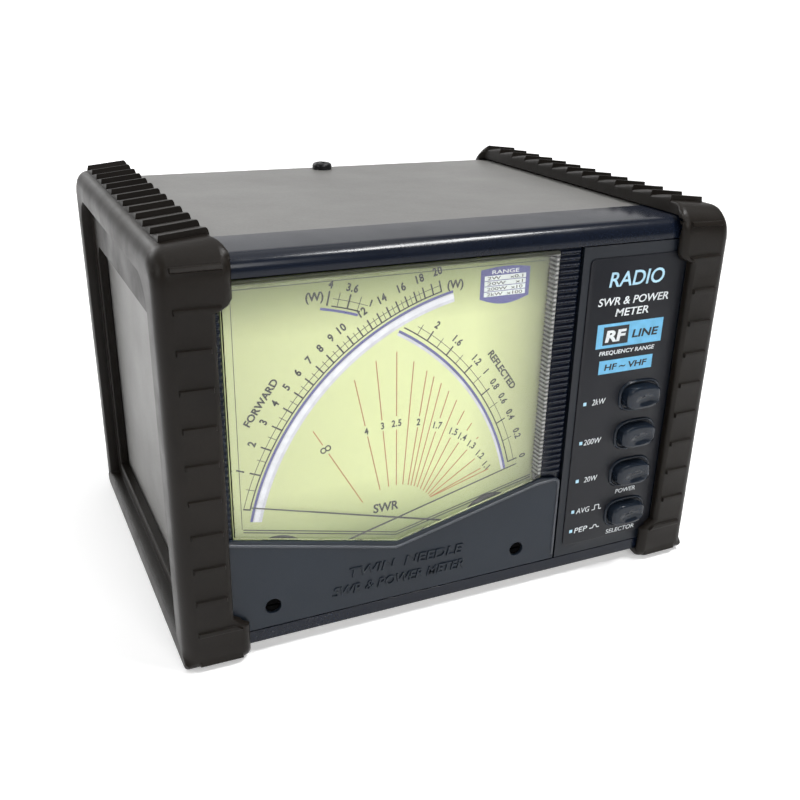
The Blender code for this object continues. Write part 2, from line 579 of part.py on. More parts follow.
SOCKET_BACK = REAR_Y + SHEET + GAP
for label, socket_x in SOCKETS.items():
    cut(coupler, rod(f"{label}_coupler_hole", (socket_x, COUPLER_HIGH[1], SOCKET_Z), 7.9 * MM,
                     8 * MM, "Y", group=CUTTERS))
    half = 12.7 * MM
    flange = box(f"{label}_socket", (socket_x - half, SOCKET_BACK, SOCKET_Z - half),
                 (socket_x + half, SOCKET_BACK + 2.2 * MM, SOCKET_Z + half), NICKEL)
    join(flange, rod(f"{label}_barrel", (socket_x, 56 * MM, SOCKET_Z), 7.95 * MM, 13.6 * MM, "Y",
                     group=CUTTERS, sides=36))
    join(flange, rod(f"{label}_neck", (socket_x, 46.5 * MM, SOCKET_Z), 7.5 * MM, 5 * MM, "Y",
                     group=CUTTERS, sides=36))
    cut(flange, rod(f"{label}_socket_bore", (socket_x, 54 * MM, SOCKET_Z), 5.95 * MM, 30 * MM, "Y",
                    group=CUTTERS, sides=36))
    spot = (socket_x, 0, SOCKET_Z)
    turned(f"{label}_insulator", [(2.9 * MM, 56.5 * MM), (2.9 * MM, 43.5 * MM),
                                  (5.65 * MM, 43.5 * MM), (5.65 * MM, 56.5 * MM)], spot, TEFLON)
    turned(f"{label}_contact", [(0, 36.2 * MM), (2.6 * MM, 36.2 * MM), (2.6 * MM, 56.8 * MM),
                                (2.0 * MM, 56.8 * MM), (2.0 * MM, 46 * MM), (0, 46 * MM)],
           spot, SILVER, sides=24)

LINE_Y = 33.7 * MM
LINE_MID = sum(SOCKETS.values()) / 2
rod("line_conductor", (LINE_MID, LINE_Y, SOCKET_Z), 1.9 * MM, 44 * MM, "X", COPPER, sides=20)
bpy.ops.mesh.primitive_torus_add(major_radius=7 * MM, minor_radius=2.8 * MM, major_segments=28,
                                 minor_segments=12, location=(LINE_MID, LINE_Y, SOCKET_Z),
                                 rotation=(0, math.pi / 2, 0))
toroid = bpy.context.object
toroid.name = "current_toroid"
toroid.data.materials.append(FERRITE)
for owner in list(toroid.users_collection):
    owner.objects.unlink(toroid)
PARTS.objects.link(toroid)

box("coupler_board", (-28 * MM, 19 * MM, 12 * MM), (40 * MM, 42 * MM, 13.6 * MM), BOARD)
box("main_board", (-75 * MM, -28 * MM, BOARD_Z), (-37 * MM, 30 * MM, BOARD_Z + 1.6 * MM), BOARD)

for number, trimmer_y in enumerate((-14 * MM, 0.0), start=1):
    low_z = BOARD_Z + 1.6 * MM + GAP
    trimmer = box(f"trimmer_body_{number}", (-60 * MM, trimmer_y - 3.5 * MM, low_z),
                  (-53 * MM, trimmer_y + 3.5 * MM, low_z + 4 * MM), BLACK)
    cut(trimmer, rod(f"trimmer_well_{number}", (-56.5 * MM, trimmer_y, low_z + 4 * MM), 2.6 * MM,
                     3 * MM, "Z", group=CUTTERS, sides=24))
    rotor = rod(f"trimmer_rotor_{number}", (-56.5 * MM, trimmer_y, low_z + 4 * MM), 2.3 * MM,
                2.2 * MM, "Z", TEFLON, sides=24)
    cut(rotor, box(f"trimmer_slot_{number}", (-60 * MM, trimmer_y - 0.3 * MM, low_z + 4.4 * MM),
                   (-53 * MM, trimmer_y + 0.3 * MM, low_z + 8 * MM), group=CUTTERS))

turned("supply_jack", [(0, 34 * MM), (5.5 * MM, 34 * MM), (5.5 * MM, 45.6 * MM),
                       (3.9 * MM, 45.6 * MM), (3.9 * MM, 48.8 * MM), (2.75 * MM, 48.8 * MM),
                       (2.75 * MM, 37 * MM), (1.0 * MM, 37 * MM), (1.0 * MM, 47.8 * MM),
                       (0, 47.8 * MM)], (JACK[0], 0, JACK[1]), BLACK, sides=28)
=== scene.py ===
"""Cross-needle SWR and power meter: surfaces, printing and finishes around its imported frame."""

import math

import bmesh
import bpy
import numpy as np
from mathutils import Euler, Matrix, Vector


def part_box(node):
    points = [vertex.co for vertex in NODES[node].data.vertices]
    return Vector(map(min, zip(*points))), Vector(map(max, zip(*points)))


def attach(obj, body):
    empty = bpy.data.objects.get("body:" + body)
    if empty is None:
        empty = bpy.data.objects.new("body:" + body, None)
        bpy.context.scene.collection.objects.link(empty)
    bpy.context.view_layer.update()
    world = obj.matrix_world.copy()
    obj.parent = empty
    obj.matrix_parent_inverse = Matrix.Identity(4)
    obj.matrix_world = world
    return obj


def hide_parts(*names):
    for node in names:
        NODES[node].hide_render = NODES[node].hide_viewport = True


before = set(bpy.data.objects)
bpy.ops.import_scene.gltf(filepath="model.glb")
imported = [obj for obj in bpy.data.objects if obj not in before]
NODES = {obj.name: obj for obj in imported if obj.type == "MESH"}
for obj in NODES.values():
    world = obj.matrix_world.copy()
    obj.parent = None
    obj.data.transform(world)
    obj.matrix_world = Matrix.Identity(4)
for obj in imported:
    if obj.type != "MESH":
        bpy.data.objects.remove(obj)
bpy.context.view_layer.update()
MM = 0.001


def span(node):
    """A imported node's lowest and highest corners, in millimetres."""
    low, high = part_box(node)
    return np.array(low) / MM, np.array(high) / MM


# ---- finishes -----------------------------------------------------------------------------
def new_material(name, colour, roughness, metallic=0.0):
    """A Principled material and its node tree, with plain values on the shader's sockets."""
    material = bpy.data.materials.new(name)
    material.use_nodes = True
    tree = material.node_tree
    shader = tree.nodes["Principled BSDF"]
    shader.inputs["Base Color"].default_value = (*colour, 1.0)
    shader.inputs["Roughness"].default_value = roughness
    shader.inputs["Metallic"].default_value = metallic
    return material, tree, shader


def shader_node(tree, kind, **values):
    """A new shader node with plain values on its sockets; an underscore stands for a space."""
    made = tree.nodes.new("ShaderNode" + kind)
    for socket, value in values.items():
        made.inputs[socket.replace("_", " ")].default_value = value
    return made


def noise(tree, scale, detail, stretch=(1, 1, 1)):
    """Noise on the object's own coordinates, its scale in grains per metre."""
    place = shader_node(tree, "TexCoord")
    turn = shader_node(tree, "Mapping", Scale=stretch)
    grain = shader_node(tree, "TexNoise", Scale=scale, Detail=detail, Roughness=0.55)
    tree.links.new(place.outputs["Object"], turn.inputs["Vector"])
    tree.links.new(turn.outputs["Vector"], grain.inputs["Vector"])
    return grain.outputs["Fac"]


def along(tree, axis, low=None, high=None):
    """The object's own coordinate on one axis, stretched from low..high to 0..1 if given."""
    place = tree.nodes.new("ShaderNodeTexCoord")
    split = tree.nodes.new("ShaderNodeSeparateXYZ")
    tree.links.new(place.outputs["Object"], split.inputs["Vector"])
    if low is None:
        return split.outputs[axis]
    share = shader_node(tree, "MapRange", From_Min=low, From_Max=high)
    tree.links.new(split.outputs[axis], share.inputs["Value"])
    return share.outputs["Result"]


def ramp(tree, value, stops):
    """A colour ramp over value; stops are (position, grey or rgb)."""
    node = tree.nodes.new("ShaderNodeValToRGB")
    elements = node.color_ramp.elements
    while len(elements) < len(stops):
        elements.new(0.5)
    for element, (position, colour) in zip(elements, stops):
        element.position = position
        rgb = (colour,) * 3 if isinstance(colour, (int, float)) else colour
        element.color = (*rgb, 1.0)
    tree.links.new(value, node.inputs["Fac"])
    return node.outputs["Color"]


def product(tree, first, second):
    """One colour multiplied by another."""
    node = tree.nodes.new("ShaderNodeMix")
    node.data_type = "RGBA"
    node.blend_type = "MULTIPLY"
    node.inputs["Factor"].default_value = 1.0
    tree.links.new(first, node.inputs[6])
    tree.links.new(second, node.inputs[7])
    return node.outputs[2]


def relief(tree, shader, height, depth):
    """Bump from height, depth in metres."""
    bump = shader_node(tree, "Bump", Strength=1.0, Distance=depth)
    tree.links.new(height, bump.inputs["Height"])
    tree.links.new(bump.outputs["Normal"], shader.inputs["Normal"])


def worn(name, colour, roughness, metallic=0.0, spread=0.18, cloud=35.0, grain=2500.0,
         depth=0.00002, rough_spread=0.12, stretch=(1, 1, 1), tint=None):
    """A moulded or painted finish: cloudy colour, uneven gloss and a fine grain in relief."""
    material, tree, shader = new_material(name, colour, roughness, metallic)
    darker = tuple(c * (1 - spread) for c in colour)
    lighter = tint or tuple(min(1.0, c * (1 + spread)) for c in colour)
    clouds = ramp(tree, noise(tree, cloud, 4.0), [(0.3, darker), (0.7, lighter)])
    fine = ramp(tree, noise(tree, grain, 2.0, stretch=stretch), [(0.25, 0.82), (0.75, 1.0)])
    tree.links.new(product(tree, clouds, fine), shader.inputs["Base Color"])
    patch = ramp(tree, noise(tree, cloud * 2.3, 5.0),
                 [(0.3, max(0.02, roughness - rough_spread)), (0.7, roughness + rough_spread)])
    tree.links.new(patch, shader.inputs["Roughness"])
    relief(tree, shader, noise(tree, grain, 2.0, stretch=stretch), depth)
    return material, tree, shader


def specular(material, level):
    """Set how strongly a finish mirrors its surroundings."""
    shader = material.node_tree.nodes["Principled BSDF"]
    shader.inputs["Specular IOR Level"].default_value = level


ORDINARY = {
    "bumper_rubber": ((0.011, 0.0086, 0.0066), 0.40, 0.0, 0.25, 28, 1800, 0.00003, 0.08),
    "grey_paint": ((0.175, 0.172, 0.165), 0.42, 0.0, 0.07, 14, 1500, 0.00005, 0.06),
    "navy_moulding": ((0.005, 0.008, 0.017), 0.20, 0.0, 0.12, 25, 1200, 0.000008, 0.05),
    "navy_cover": ((0.013, 0.019, 0.029), 0.36, 0.0, 0.1, 30, 2200, 0.00002, 0.06),
    "button_plastic": ((0.010, 0.015, 0.024), 0.2, 0.0, 0.12, 160, 3000, 0.000006, 0.04),
    "nickel_plate": ((0.62, 0.60, 0.55), 0.22, 1.0, 0.06, 60, 1500, 0.000004, 0.04),
    "pointer_black": ((0.018, 0.017, 0.016), 0.5),
    "black_plastic": ((0.022, 0.022, 0.023), 0.45),
    "circuit_board": ((0.03, 0.16, 0.06), 0.4, 0.0, 0.2, 220),
    "silver_contact": ((0.80, 0.78, 0.72), 0.22, 1.0, 0.06),
    "white_insulator": ((0.78, 0.77, 0.72), 0.38, 0.0, 0.04),
    "ferrite": ((0.06, 0.06, 0.063), 0.6, 0.0, 0.2, 300),
    "black_screw": ((0.020, 0.020, 0.021), 0.32, 0.6, 0.18, 250),
}
FINISH = {name: worn(name, *look)[0] for name, look in ORDINARY.items()}
FINISH["plated_steel"] = worn("plated_steel", (0.55, 0.54, 0.50), 0.34, 1.0, spread=0.08,
                              cloud=60, grain=900, depth=0.00001, stretch=(1, 12, 1))[0]
FINISH["copper_coil"] = worn("copper_coil", (0.62, 0.27, 0.11), 0.3, 1.0, cloud=300,
                             grain=4000, stretch=(1, 6, 1))[0]
for name, level in (("bumper_rubber", 0.17), ("navy_moulding", 0.28), ("button_plastic", 0.3),
                    ("navy_cover", 0.3)):
    specular(FINISH[name], level)
FINISH["clear_acrylic"], tree, shader = new_material("clear_acrylic", (0.97, 0.98, 0.95), 0.0)
shader.inputs["Transmission Weight"].default_value = 1.0
shader.inputs["IOR"].default_value = 1.49
specular(FINISH["clear_acrylic"], 0.05)
PANE_SHADED_TOP = (0.1073, 0.1078)             # the last half millimetre, dark and dull
edge = along(tree, "Z", *PANE_SHADED_TOP)
# painted shade: the pane turns dark olive and dull at its top edge, standing in for the shade
# under the bezel and hiding the highlight there
tree.links.new(ramp(tree, edge, [(0.0, (0.97, 0.98, 0.95)), (1.0, (0.10, 0.11, 0.07))]),
               shader.inputs["Base Color"])
tree.links.new(ramp(tree, edge, [(0.0, 0.0), (1.0, 0.9)]), shader.inputs["Roughness"])
FINISH["lamp_glass"], tree, shader = new_material("lamp_glass", (0.97, 0.97, 0.93), 0.05)
shader.inputs["Transmission Weight"].default_value = 1.0
FROST = worn("frosted_acrylic", (0.17, 0.175, 0.15), 0.35, spread=0.2, cloud=90, grain=1800,
             depth=0.00003)[0]
SAW_SHADE_PITCH = 0.0013                    # one light and one dark band of the wall
tree = FROST.node_tree
count = tree.nodes.new("ShaderNodeMath")
count.operation = "MULTIPLY"
count.inputs[1].default_value = 1 / SAW_SHADE_PITCH
part = tree.nodes.new("ShaderNodeMath")
part.operation = "FRACT"
tree.links.new(along(tree, "Z"), count.inputs[0])
tree.links.new(count.outputs["Value"], part.inputs[0])
# painted light and shade: a bright band and a dark band for each tooth of the wall's saw, standing
# in for its lit and shaded facets
tree.links.new(ramp(tree, part.outputs["Value"], [(0.0, 0.03), (0.35, 0.05), (0.5, 0.36),
                                                  (0.85, 0.30), (1.0, 0.03)]),
               tree.nodes["Principled BSDF"].inputs["Base Color"])
PANEL_BLACK = worn("panel_satin_black", (0.008, 0.011, 0.017), 0.34, spread=0.12, cloud=30,
                   grain=2600, depth=0.00001, rough_spread=0.04)[0]
LABEL_BLACK = worn("label_matt_black", (0.008, 0.009, 0.013), 0.42, spread=0.1, cloud=40,
                   grain=3200, depth=0.00001, rough_spread=0.04)[0]


def dial_paint():
    """Yellow-green paint, finely speckled, with painted shade: olive at the top and bottom and
    darker to the right, where the window's recess shades the dial.
    """
    material, tree, shader = new_material("dial_paint", (0.66, 0.74, 0.40), 0.55)
    painted_shade_by_height = ramp(tree, along(tree, "Z", 0.027, 0.108),
                [(0.0, (0.25, 0.30, 0.12)), (0.25, (0.65, 0.70, 0.36)),
                 (0.8, (0.65, 0.70, 0.36)), (1.0, (0.20, 0.24, 0.08))])
    # painted shade: a little darker at the left edge and much darker towards the right
    side = ramp(tree, along(tree, "X", -0.068, 0.025),
                [(0.0, 0.8), (0.5, 1.0), (0.75, 1.0), (1.0, 0.45)])
    painted_shade_colour = product(tree, painted_shade_by_height, side)
    speck = ramp(tree, noise(tree, 500, 4.0), [(0.3, 0.95), (0.7, 1.0)])
    tree.links.new(product(tree, painted_shade_colour, speck), shader.inputs["Base Color"])
    tree.links.new(ramp(tree, noise(tree, 260, 3.0), [(0.3, 0.45), (0.7, 0.6)]),
                   shader.inputs["Roughness"])
    relief(tree, shader, noise(tree, 3500, 2.0), 0.000005)
    return material


FINISH["dial_paint"] = dial_paint()


def ink(name, colour):
    """A printed ink, a little uneven in density."""
    return worn(name, colour, 0.5, spread=0.1, cloud=400, grain=6000, depth=0.000002,
                rough_spread=0.06)[0]


INK_BLACK = ink("ink_black", (0.008, 0.009, 0.012))
INK_VIOLET = ink("ink_violet", (0.085, 0.085, 0.30))
INK_LILAC = ink("ink_lilac", (0.62, 0.62, 0.72))
# the mirror band: its own silver, with its bright reflection painted in as a pale matt ink
INK_MIRROR_REFLECTION = ink("ink_silver_painted_reflection", (0.78, 0.78, 0.87))
INK_RUST = ink("ink_rust", (0.42, 0.14, 0.035))
INK_WHITE = ink("ink_white", (0.80, 0.84, 0.86))
INK_SKY = ink("ink_sky", (0.16, 0.50, 0.78))
INK_PALE = ink("ink_pale_blue", (0.45, 0.72, 0.88))
# the zero screws' own black, deepened and stripped of sheen as painted shade of the holes they sit
# in
HOLE_SHADE_BLACK = worn("screw_black_with_hole_shade", (0.0015, 0.0015, 0.0015), 0.9, spread=0.1, cloud=300)[0]
# painted highlight: a paler navy for the cover's bead, standing in for the light line along its
# edge
BEAD_HIGHLIGHT_NAVY = worn("navy_bead_painted_highlight", (0.055, 0.062, 0.075), 0.4, spread=0.15, cloud=120)[0]
for material, level in ((PANEL_BLACK, 0.3), (LABEL_BLACK, 0.3), (HOLE_SHADE_BLACK, 0.05)):
    specular(material, level)

for node in NODES.values():
    slot = node.data.materials[0].name.split(".")[0]
    if slot in FINISH:
        for index in range(len(node.data.materials)):
            node.data.materials[index] = FINISH[slot]
# zero screws: their dark colour plus the painted shade of their holes
for name in ("zero_adjuster_forward", "zero_adjuster_reflected"):
    NODES[name].data.materials[0] = HOLE_SHADE_BLACK


# ---- making meshes ------------------------------------------------------------------------
def solid(name, points, faces, body, finish, stands_for=(), angle=35, heal=False):
    """A closed mesh from points in millimetres, turned outwards if its volume is negative. With
    heal, small gaps are filled and each separate island is turned outwards by itself."""
    mesh = bpy.data.meshes.new(name)
    mesh.from_pydata((np.asarray(points, float) * MM).tolist(), [], [list(f) for f in faces])
    bm = bmesh.new()
    bm.from_mesh(mesh)
    bmesh.ops.remove_doubles(bm, verts=bm.verts, dist=1e-7)
    if heal:
        bmesh.ops.holes_fill(bm, edges=[e for e in bm.edges if e.is_boundary], sides=0)
        bmesh.ops.recalc_face_normals(bm, faces=bm.faces)
    elif bm.calc_volume(signed=True) < 0:
        bmesh.ops.reverse_faces(bm, faces=bm.faces)
    bm.to_mesh(mesh)
    bm.free()
    mesh.materials.append(finish)
    mesh.shade_smooth()
    mesh.set_sharp_from_angle(angle=math.radians(angle))
    piece = bpy.data.objects.new(name, mesh)
    bpy.context.scene.collection.objects.link(piece)
    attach(piece, body)
    if stands_for:
        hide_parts(*stands_for)
    return piece


def grid_faces(rows, columns, wrap_rows=False, wrap_columns=False):
    """Quads joining neighbours of a grid of points numbered row by row."""
    r = np.arange(rows if wrap_rows else rows - 1)
    c = np.arange(columns if wrap_columns else columns - 1)
    i, j = np.meshgrid(r, c, indexing="ij")
    i2, j2 = (i + 1) % rows, (j + 1) % columns
    quads = np.stack([i * columns + j, i * columns + j2, i2 * columns + j2, i2 * columns + j], -1)
    return quads.reshape(-1, 4).tolist()


def lofted(rings, closed=False):
    """Points and faces of rings (k, n, 3) joined in order; ends capped unless closed."""
    k, n = rings.shape[:2]
    faces = grid_faces(k, n, closed, True)
    if not closed:
        faces += [list(range(n))[::-1], list(range((k - 1) * n, k * n))]
    return rings.reshape(-1, 3), faces


def shell(name, rings, slot, stands_for=(), body="root", finish=None, angle=35, closed=False):
    """A solid lofted through rings, in its slot's own finish unless another is given."""
    points, faces = lofted(np.asarray(rings), closed)
    return solid(name, points, faces, body, finish or FINISH[slot], stands_for, angle)


def standing(flat, y):
    """A ring of (x, z) points stood up at depth y, which may differ from point to point."""
    return np.column_stack([flat[:, 0], np.broadcast_to(y, len(flat)), flat[:, 1]])


def eased(node, slot, width, segments, finish=None):
    """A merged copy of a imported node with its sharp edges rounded, standing in for it."""
    bm = bmesh.new()
    bm.from_mesh(NODES[node].data)
    bmesh.ops.remove_doubles(bm, verts=bm.verts, dist=1e-6)
    bmesh.ops.dissolve_limit(bm, angle_limit=math.radians(0.5), verts=bm.verts, edges=bm.edges)
    mesh = bpy.data.meshes.new("eased_" + node)
    bm.to_mesh(mesh)
    bm.free()
    mesh.materials.clear()
    mesh.materials.append(finish or FINISH[slot])
    for polygon in mesh.polygons:
        polygon.material_index = 0
    mesh.shade_smooth()
    mesh.set_sharp_from_angle(angle=math.radians(30))
    piece = bpy.data.objects.new("eased_" + node, mesh)
    bpy.context.scene.collection.objects.link(piece)
    bevel = piece.modifiers.new("rounded_edges", "BEVEL")
    bevel.width = width * MM
    bevel.segments = segments
    bevel.limit_method = "ANGLE"
    bevel.angle_limit = math.radians(40)
    bevel.harden_normals = True
    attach(piece, "root")
    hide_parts(node)
    return piece


# ---- rubber end frames --------------------------------------------------------------------
FACE, ROOT_Z = -64.45, 118.4            # flat of the front bar, foot of the top teeth
REAR_FACE = 64.75
HALF = 86.0
FRONT_BREAK = (4.0, 109.9)              # straight part of the front and rear bars, in z
TOP_BREAK = (-56.25, 56.0)
LOW_BREAK = (-60.5, 59.5)
RIB_Z = 113.0 - 10.1 * np.arange(12)
TOOTH_Y = 56.8 - 9.17 * np.arange(13)

rib_steps = np.array([-1.2, -0.82, -0.62, 0.0, 0.62, 0.82, 1.2])
front_z = np.concatenate([RIB_Z[1:, None] + rib_steps, RIB_Z[1:, None] + 5.05], 1).ravel()
front_z = np.sort(front_z[(front_z > 4.4) & (front_z < 109.5)])
front_z = np.concatenate([[4.0, 11.5, 14.5, 101.7, 104.7, 103.2, 13.0], front_z, [109.9]])
front_z = np.unique(np.round(front_z, 3))
tooth_steps = np.array([-0.30, -0.12, 0.05, 0.30, 2.2, 4.6, 7.0])
top_y = (TOOTH_Y[1:, None] + tooth_steps).ravel()
top_y = np.unique(np.round(np.concatenate([[-56.25, -55.0], top_y, [56.0]]), 3))
SIDE_T = (front_z - FRONT_BREAK[0]) / (FRONT_BREAK[1] - FRONT_BREAK[0])
TOP_T = (top_y - TOP_BREAK[0]) / (TOP_BREAK[1] - TOP_BREAK[0])
REAR_T = np.linspace(1, 0, 14)
LOW_T = np.linspace(1, 0, 14)
CORNER_1 = np.radians([6, 12, 15.5, 17.2, 18.4, 21.4, 24.6, 26.0, 28, 36, 46, 56, 66, 76, 84])
CORNER_2 = np.radians([4.4, 5.4, 7, 14, 22, 31, 42, 54, 66, 78])
CORNER_3 = np.radians([15, 30, 45, 60, 75])


def side_ring(front, rear, low, high, z_break, top_break, low_break, power=2.0):
    """A closed rounded rectangle in the side plane: up the front, back along the top, down the
    rear, forward underneath. Every call uses the same fractions, so that rings match."""
    def corner(angles, y_from, z_from, y_to, z_to, rising):
        s, c = np.sin(angles) ** (2 / power), np.cos(angles) ** (2 / power)
        along, across = (s, 1 - c)
        if rising:
            return np.stack([y_from + (y_to - y_from) * across,
                             z_from + (z_to - z_from) * along], 1)
        return np.stack([y_from + (y_to - y_from) * along,
                         z_from + (z_to - z_from) * across], 1)

    z0, z1 = z_break
    up = np.stack([np.full(len(SIDE_T), front), z0 + (z1 - z0) * SIDE_T], 1)
    back = np.stack([top_break[0] + (top_break[1] - top_break[0]) * TOP_T,
                     np.full(len(TOP_T), high)], 1)
    down = np.stack([np.full(len(REAR_T), rear), z0 + (z1 - z0) * REAR_T], 1)
    home = np.stack([low_break[0] + (low_break[1] - low_break[0]) * LOW_T,
                     np.full(len(LOW_T), low)], 1)
    return np.concatenate([
        up, corner(CORNER_1, front, z1, top_break[0], high, True),
        back, corner(CORNER_2, top_break[1], high, rear, z1, False),
        down, corner(CORNER_3, rear, z0, low_break[1], low, True),
        home, corner(CORNER_3, low_break[0], low, front, z0, False)])


def steps(value, knots):
    """Piecewise straight line through knots (position, height)."""
    x, y = zip(*knots)
    return np.interp(value, x, y)


def window_ring(grow):
    """The outline of the side window, made larger all round by grow."""
    return side_ring(-53 - grow, 55 + grow, 7 - grow, 108.5 + grow, (7.8, 99.5), (-44, 46),
                     (-52.2, 54.2))


def step_ring(grow):
    """The outline of the smaller step inside the side window."""
    return side_ring(-47 - grow, 51 + grow, 12 - grow, 94 + grow, (12.8, 89), (-42, 46),
                     (-46.2, 50.2))


def end_frame(name, side):
    """A rubber end frame: a profile of 30 stations across the bar, carried round the case.

    Each station is a ring in the side plane at its own x. The stations run from the foot on the
    case, up the inner wall, across the ribbed face, round the outer edge, over the side, down
    into the stepped window and back along the case. Ribs and ratchet teeth push the middle
    stations out along the ring's own normal."""
    outer = side_ring(FACE, REAR_FACE, 0.0, ROOT_Z, FRONT_BREAK, TOP_BREAK, LOW_BREAK)
    case = side_ring(-61.7, 60.4, 3.0, 114.9, FRONT_BREAK, TOP_BREAK, LOW_BREAK, 7.0)
    y, z = outer[:, 0], outer[:, 1]
    count = len(outer)
    tangent = np.roll(outer, -1, 0) - np.roll(outer, 1, 0)
    normal = np.stack([-tangent[:, 1], tangent[:, 0]], 1)
    normal /= np.linalg.norm(normal, axis=1)[:, None]

    on_front = (y < -60.0) & (z > 1.0)
    on_rear = (y > 60.5) & (z > 1.0)
    top = steps(z, [(108, 0), (116, 1)])
    low = steps(z, [(0.5, 1), (4.0, 0)])
    ends = np.maximum(steps(z, [(101.7, 0), (102.3, 0.45), (103.2, 0.78), (104.7, 1)]),
                      steps(z, [(11.5, 1), (13.0, 0.5), (14.5, 0)]))
    tab = np.where((y < -56.3) | (y > 56.5), ends, 0)
    tab = np.where((z > 115) | (z < 3), np.where((np.abs(y) > 60), 1, steps(
        np.abs(y), [(56, 0), (60, 1)])) * (z > 60), tab)
    tab = np.where(z < 3, (np.abs(y) > 59.6) * 1.0, tab)
    bar = np.where(on_front | on_rear, 71.8, 69.5)
    x_in = np.where(tab > 0, bar + (67.3 - bar) * tab, bar)
    foot = case.copy()
    foot[:, 0] = np.where((y < -60) & (tab > 0.5), -62.6, foot[:, 0])

    radius = 1.4 + 0.8 * tab - 0.6 * top * (1 - tab)
    rib = np.zeros(count)
    for middle in RIB_Z:
        rib = np.maximum(rib, steps(z - middle, [(-0.84, 0), (-0.60, 1), (0.60, 1), (0.84, 0)]))
    rib = np.where(y < -56.4, rib * 0.8, 0)
    ahead = TOOTH_Y[np.clip(np.searchsorted(-TOOTH_Y, -y, side="left"), 0, 12)]
    tooth = np.clip(1.6 * (1 - (y - ahead) / 9.17), 0, 1.6)
    tooth = np.where(y - ahead < 0.02, 0.0, np.where(y - ahead < 0.1, 1.5, tooth))
    tooth = np.where(y > 56.8, np.clip(1.6 * (60.5 - y) / 3.7, 0, 1.6), tooth)
    tooth = np.where((y < TOOTH_Y[-1]) | (z < 110), 0.0, tooth)
    raised = rib + tooth
    at_top = (tooth > 0) | ((z > 117.5) & (np.abs(y) < 57))

    slope = 0.35 + 0.95 * top
    slope = slope * (1 - low)
    depth_x = np.where(low > 0.5, 1.2, 3.9)
    drop = (4.3 + 1.0 * top) * (1 - low) + 0.9 * low
    start = x_in + radius
    rib_from = start + 0.15

    def station(x, base, out, depth=None):
        """A ring at x, out from base along the normal, or part way down to the foot."""
        flat = base + normal * np.broadcast_to(out, (count,))[:, None]
        if depth is not None:
            flat = flat + (foot - flat) * np.broadcast_to(depth, (count,))[:, None]
        return np.column_stack([np.broadcast_to(x, (count,)), flat])

    wall = np.linalg.norm(outer - foot, axis=1)
    rings = [station(x_in, foot, 0.0), station(x_in, outer, 0.0, np.maximum(radius / wall, 0.2))]
    inner_raise = np.where(at_top, raised, 0.0)
    for turn in np.radians([22, 45, 67]):
        rings.append(station(x_in + radius * (1 - np.cos(turn)), outer,
                             inner_raise * math.sin(turn),
                             radius / wall * (1 - math.sin(turn))))
    rings.append(station(start, outer, inner_raise))
    reach = 82.1 - start

    def face(x, share):
        lean = slope * (x - start) / reach
        return station(x, outer, raised * share - lean)

    rings.append(face(rib_from, np.where(at_top, 1.0, 0.0)))
    rings.append(face(rib_from + 0.25, 1.0))
    for fraction in (0.33, 0.66):
        rings.append(face(rib_from + (81.7 - rib_from) * fraction, 1.0))
    rings.append(face(81.75, 1.0))
    rings.append(face(82.0, 0.0))
    edge = HALF - depth_x
    for turn in np.radians([2, 14, 26, 38, 50, 62, 74, 84, 90]):
        lean = slope * np.minimum(1.0, (edge - start) / reach)
        rings.append(station(edge + depth_x * np.sin(turn), outer,
                             -lean - (drop - slope * 0.3) * (1 - np.cos(turn))))
    for x, ring in ((HALF, window_ring(0.7)), (85.8, window_ring(0.2)), (85.2, window_ring(0)),
                    (82.7, window_ring(0)), (82.5, window_ring(-0.2)), (82.5, step_ring(0.3)),
                    (82.2, step_ring(0)), (79.7, step_ring(0)), (79.7, case)):
        rings.append(np.column_stack([np.full(count, x), ring]))
    rings = np.array(rings)
    rings[:, :, 0] *= side
    return shell(name, rings, "bumper_rubber", ["bumper_" + ("left" if side < 0 else "right")],
                 angle=38, closed=True)


end_frame("end_frame_left", -1)
end_frame("end_frame_right", 1)


# ---- case, moulding and covers ------------------------------------------------------------
eased("case_cover", "grey_paint", 0.3, 2)
eased("front_bezel", "navy_moulding", 0.3, 2)
eased("rear_panel", "grey_paint", 0.15, 1)
eased("chassis_tray", "plated_steel", 0.15, 1)
eased("control_panel", "navy_cover", 0.25, 2, PANEL_BLACK)
eased("meter_lower_cover", "navy_cover", 0.3, 2)


def seam_strip():
    """The black strip in the joint between cover and moulding: a low rounded profile in the
    side plane carried straight across."""
    y = np.array([-40.36, -40.3, -40.0, -39.7, -39.62, -39.62, -40.36])
    z = np.array([114.30, 114.38, 114.42, 114.38, 114.30, 114.22, 114.22])
    rings = np.array([np.column_stack([np.full(len(y), x), y, z])
                      for x in np.linspace(-69.3, 69.3, 9)])
    return shell("seam_strip", rings, "black_plastic")


seam_strip()


# ---- ribbed trim beside the meter ---------------------------------------------------------
def corrugated(name, node, pitch=1.8, proud=0.8):
    """A strip with rounded bars across it: the face is a row of raised half waves along z, and
    its ends and sides drop to a flat back."""
    low, high = span(node)
    count = max(4, int(round((high[2] - low[2]) / pitch)))
    z = np.linspace(low[2], high[2], count * 8 + 1)
    phase = (z - low[2]) / (high[2] - low[2]) * count
    wave = np.clip(np.sin(phase * np.pi) ** 2 * 1.6 - 0.35, 0, 1)
    x = np.array([low[0], low[0] + 0.35, high[0] - 0.35, high[0]])
    share = np.array([0.0, 1.0, 1.0, 0.0])
    front = low[1] + proud - proud * wave[:, None] * share[None, :]
    back = np.full_like(front, high[1])
    ring_x = np.concatenate([x, x[::-1]])
    ring_y = np.concatenate([front, back], 1)
    rings = np.stack([np.broadcast_to(ring_x, ring_y.shape), ring_y,
                      np.broadcast_to(z[:, None], ring_y.shape)], -1)
    return shell(name, rings, "navy_moulding", [node], angle=50)


corrugated("ribbed_strip_left", "trim_strip_left")
corrugated("ribbed_strip_right", "trim_strip_right")


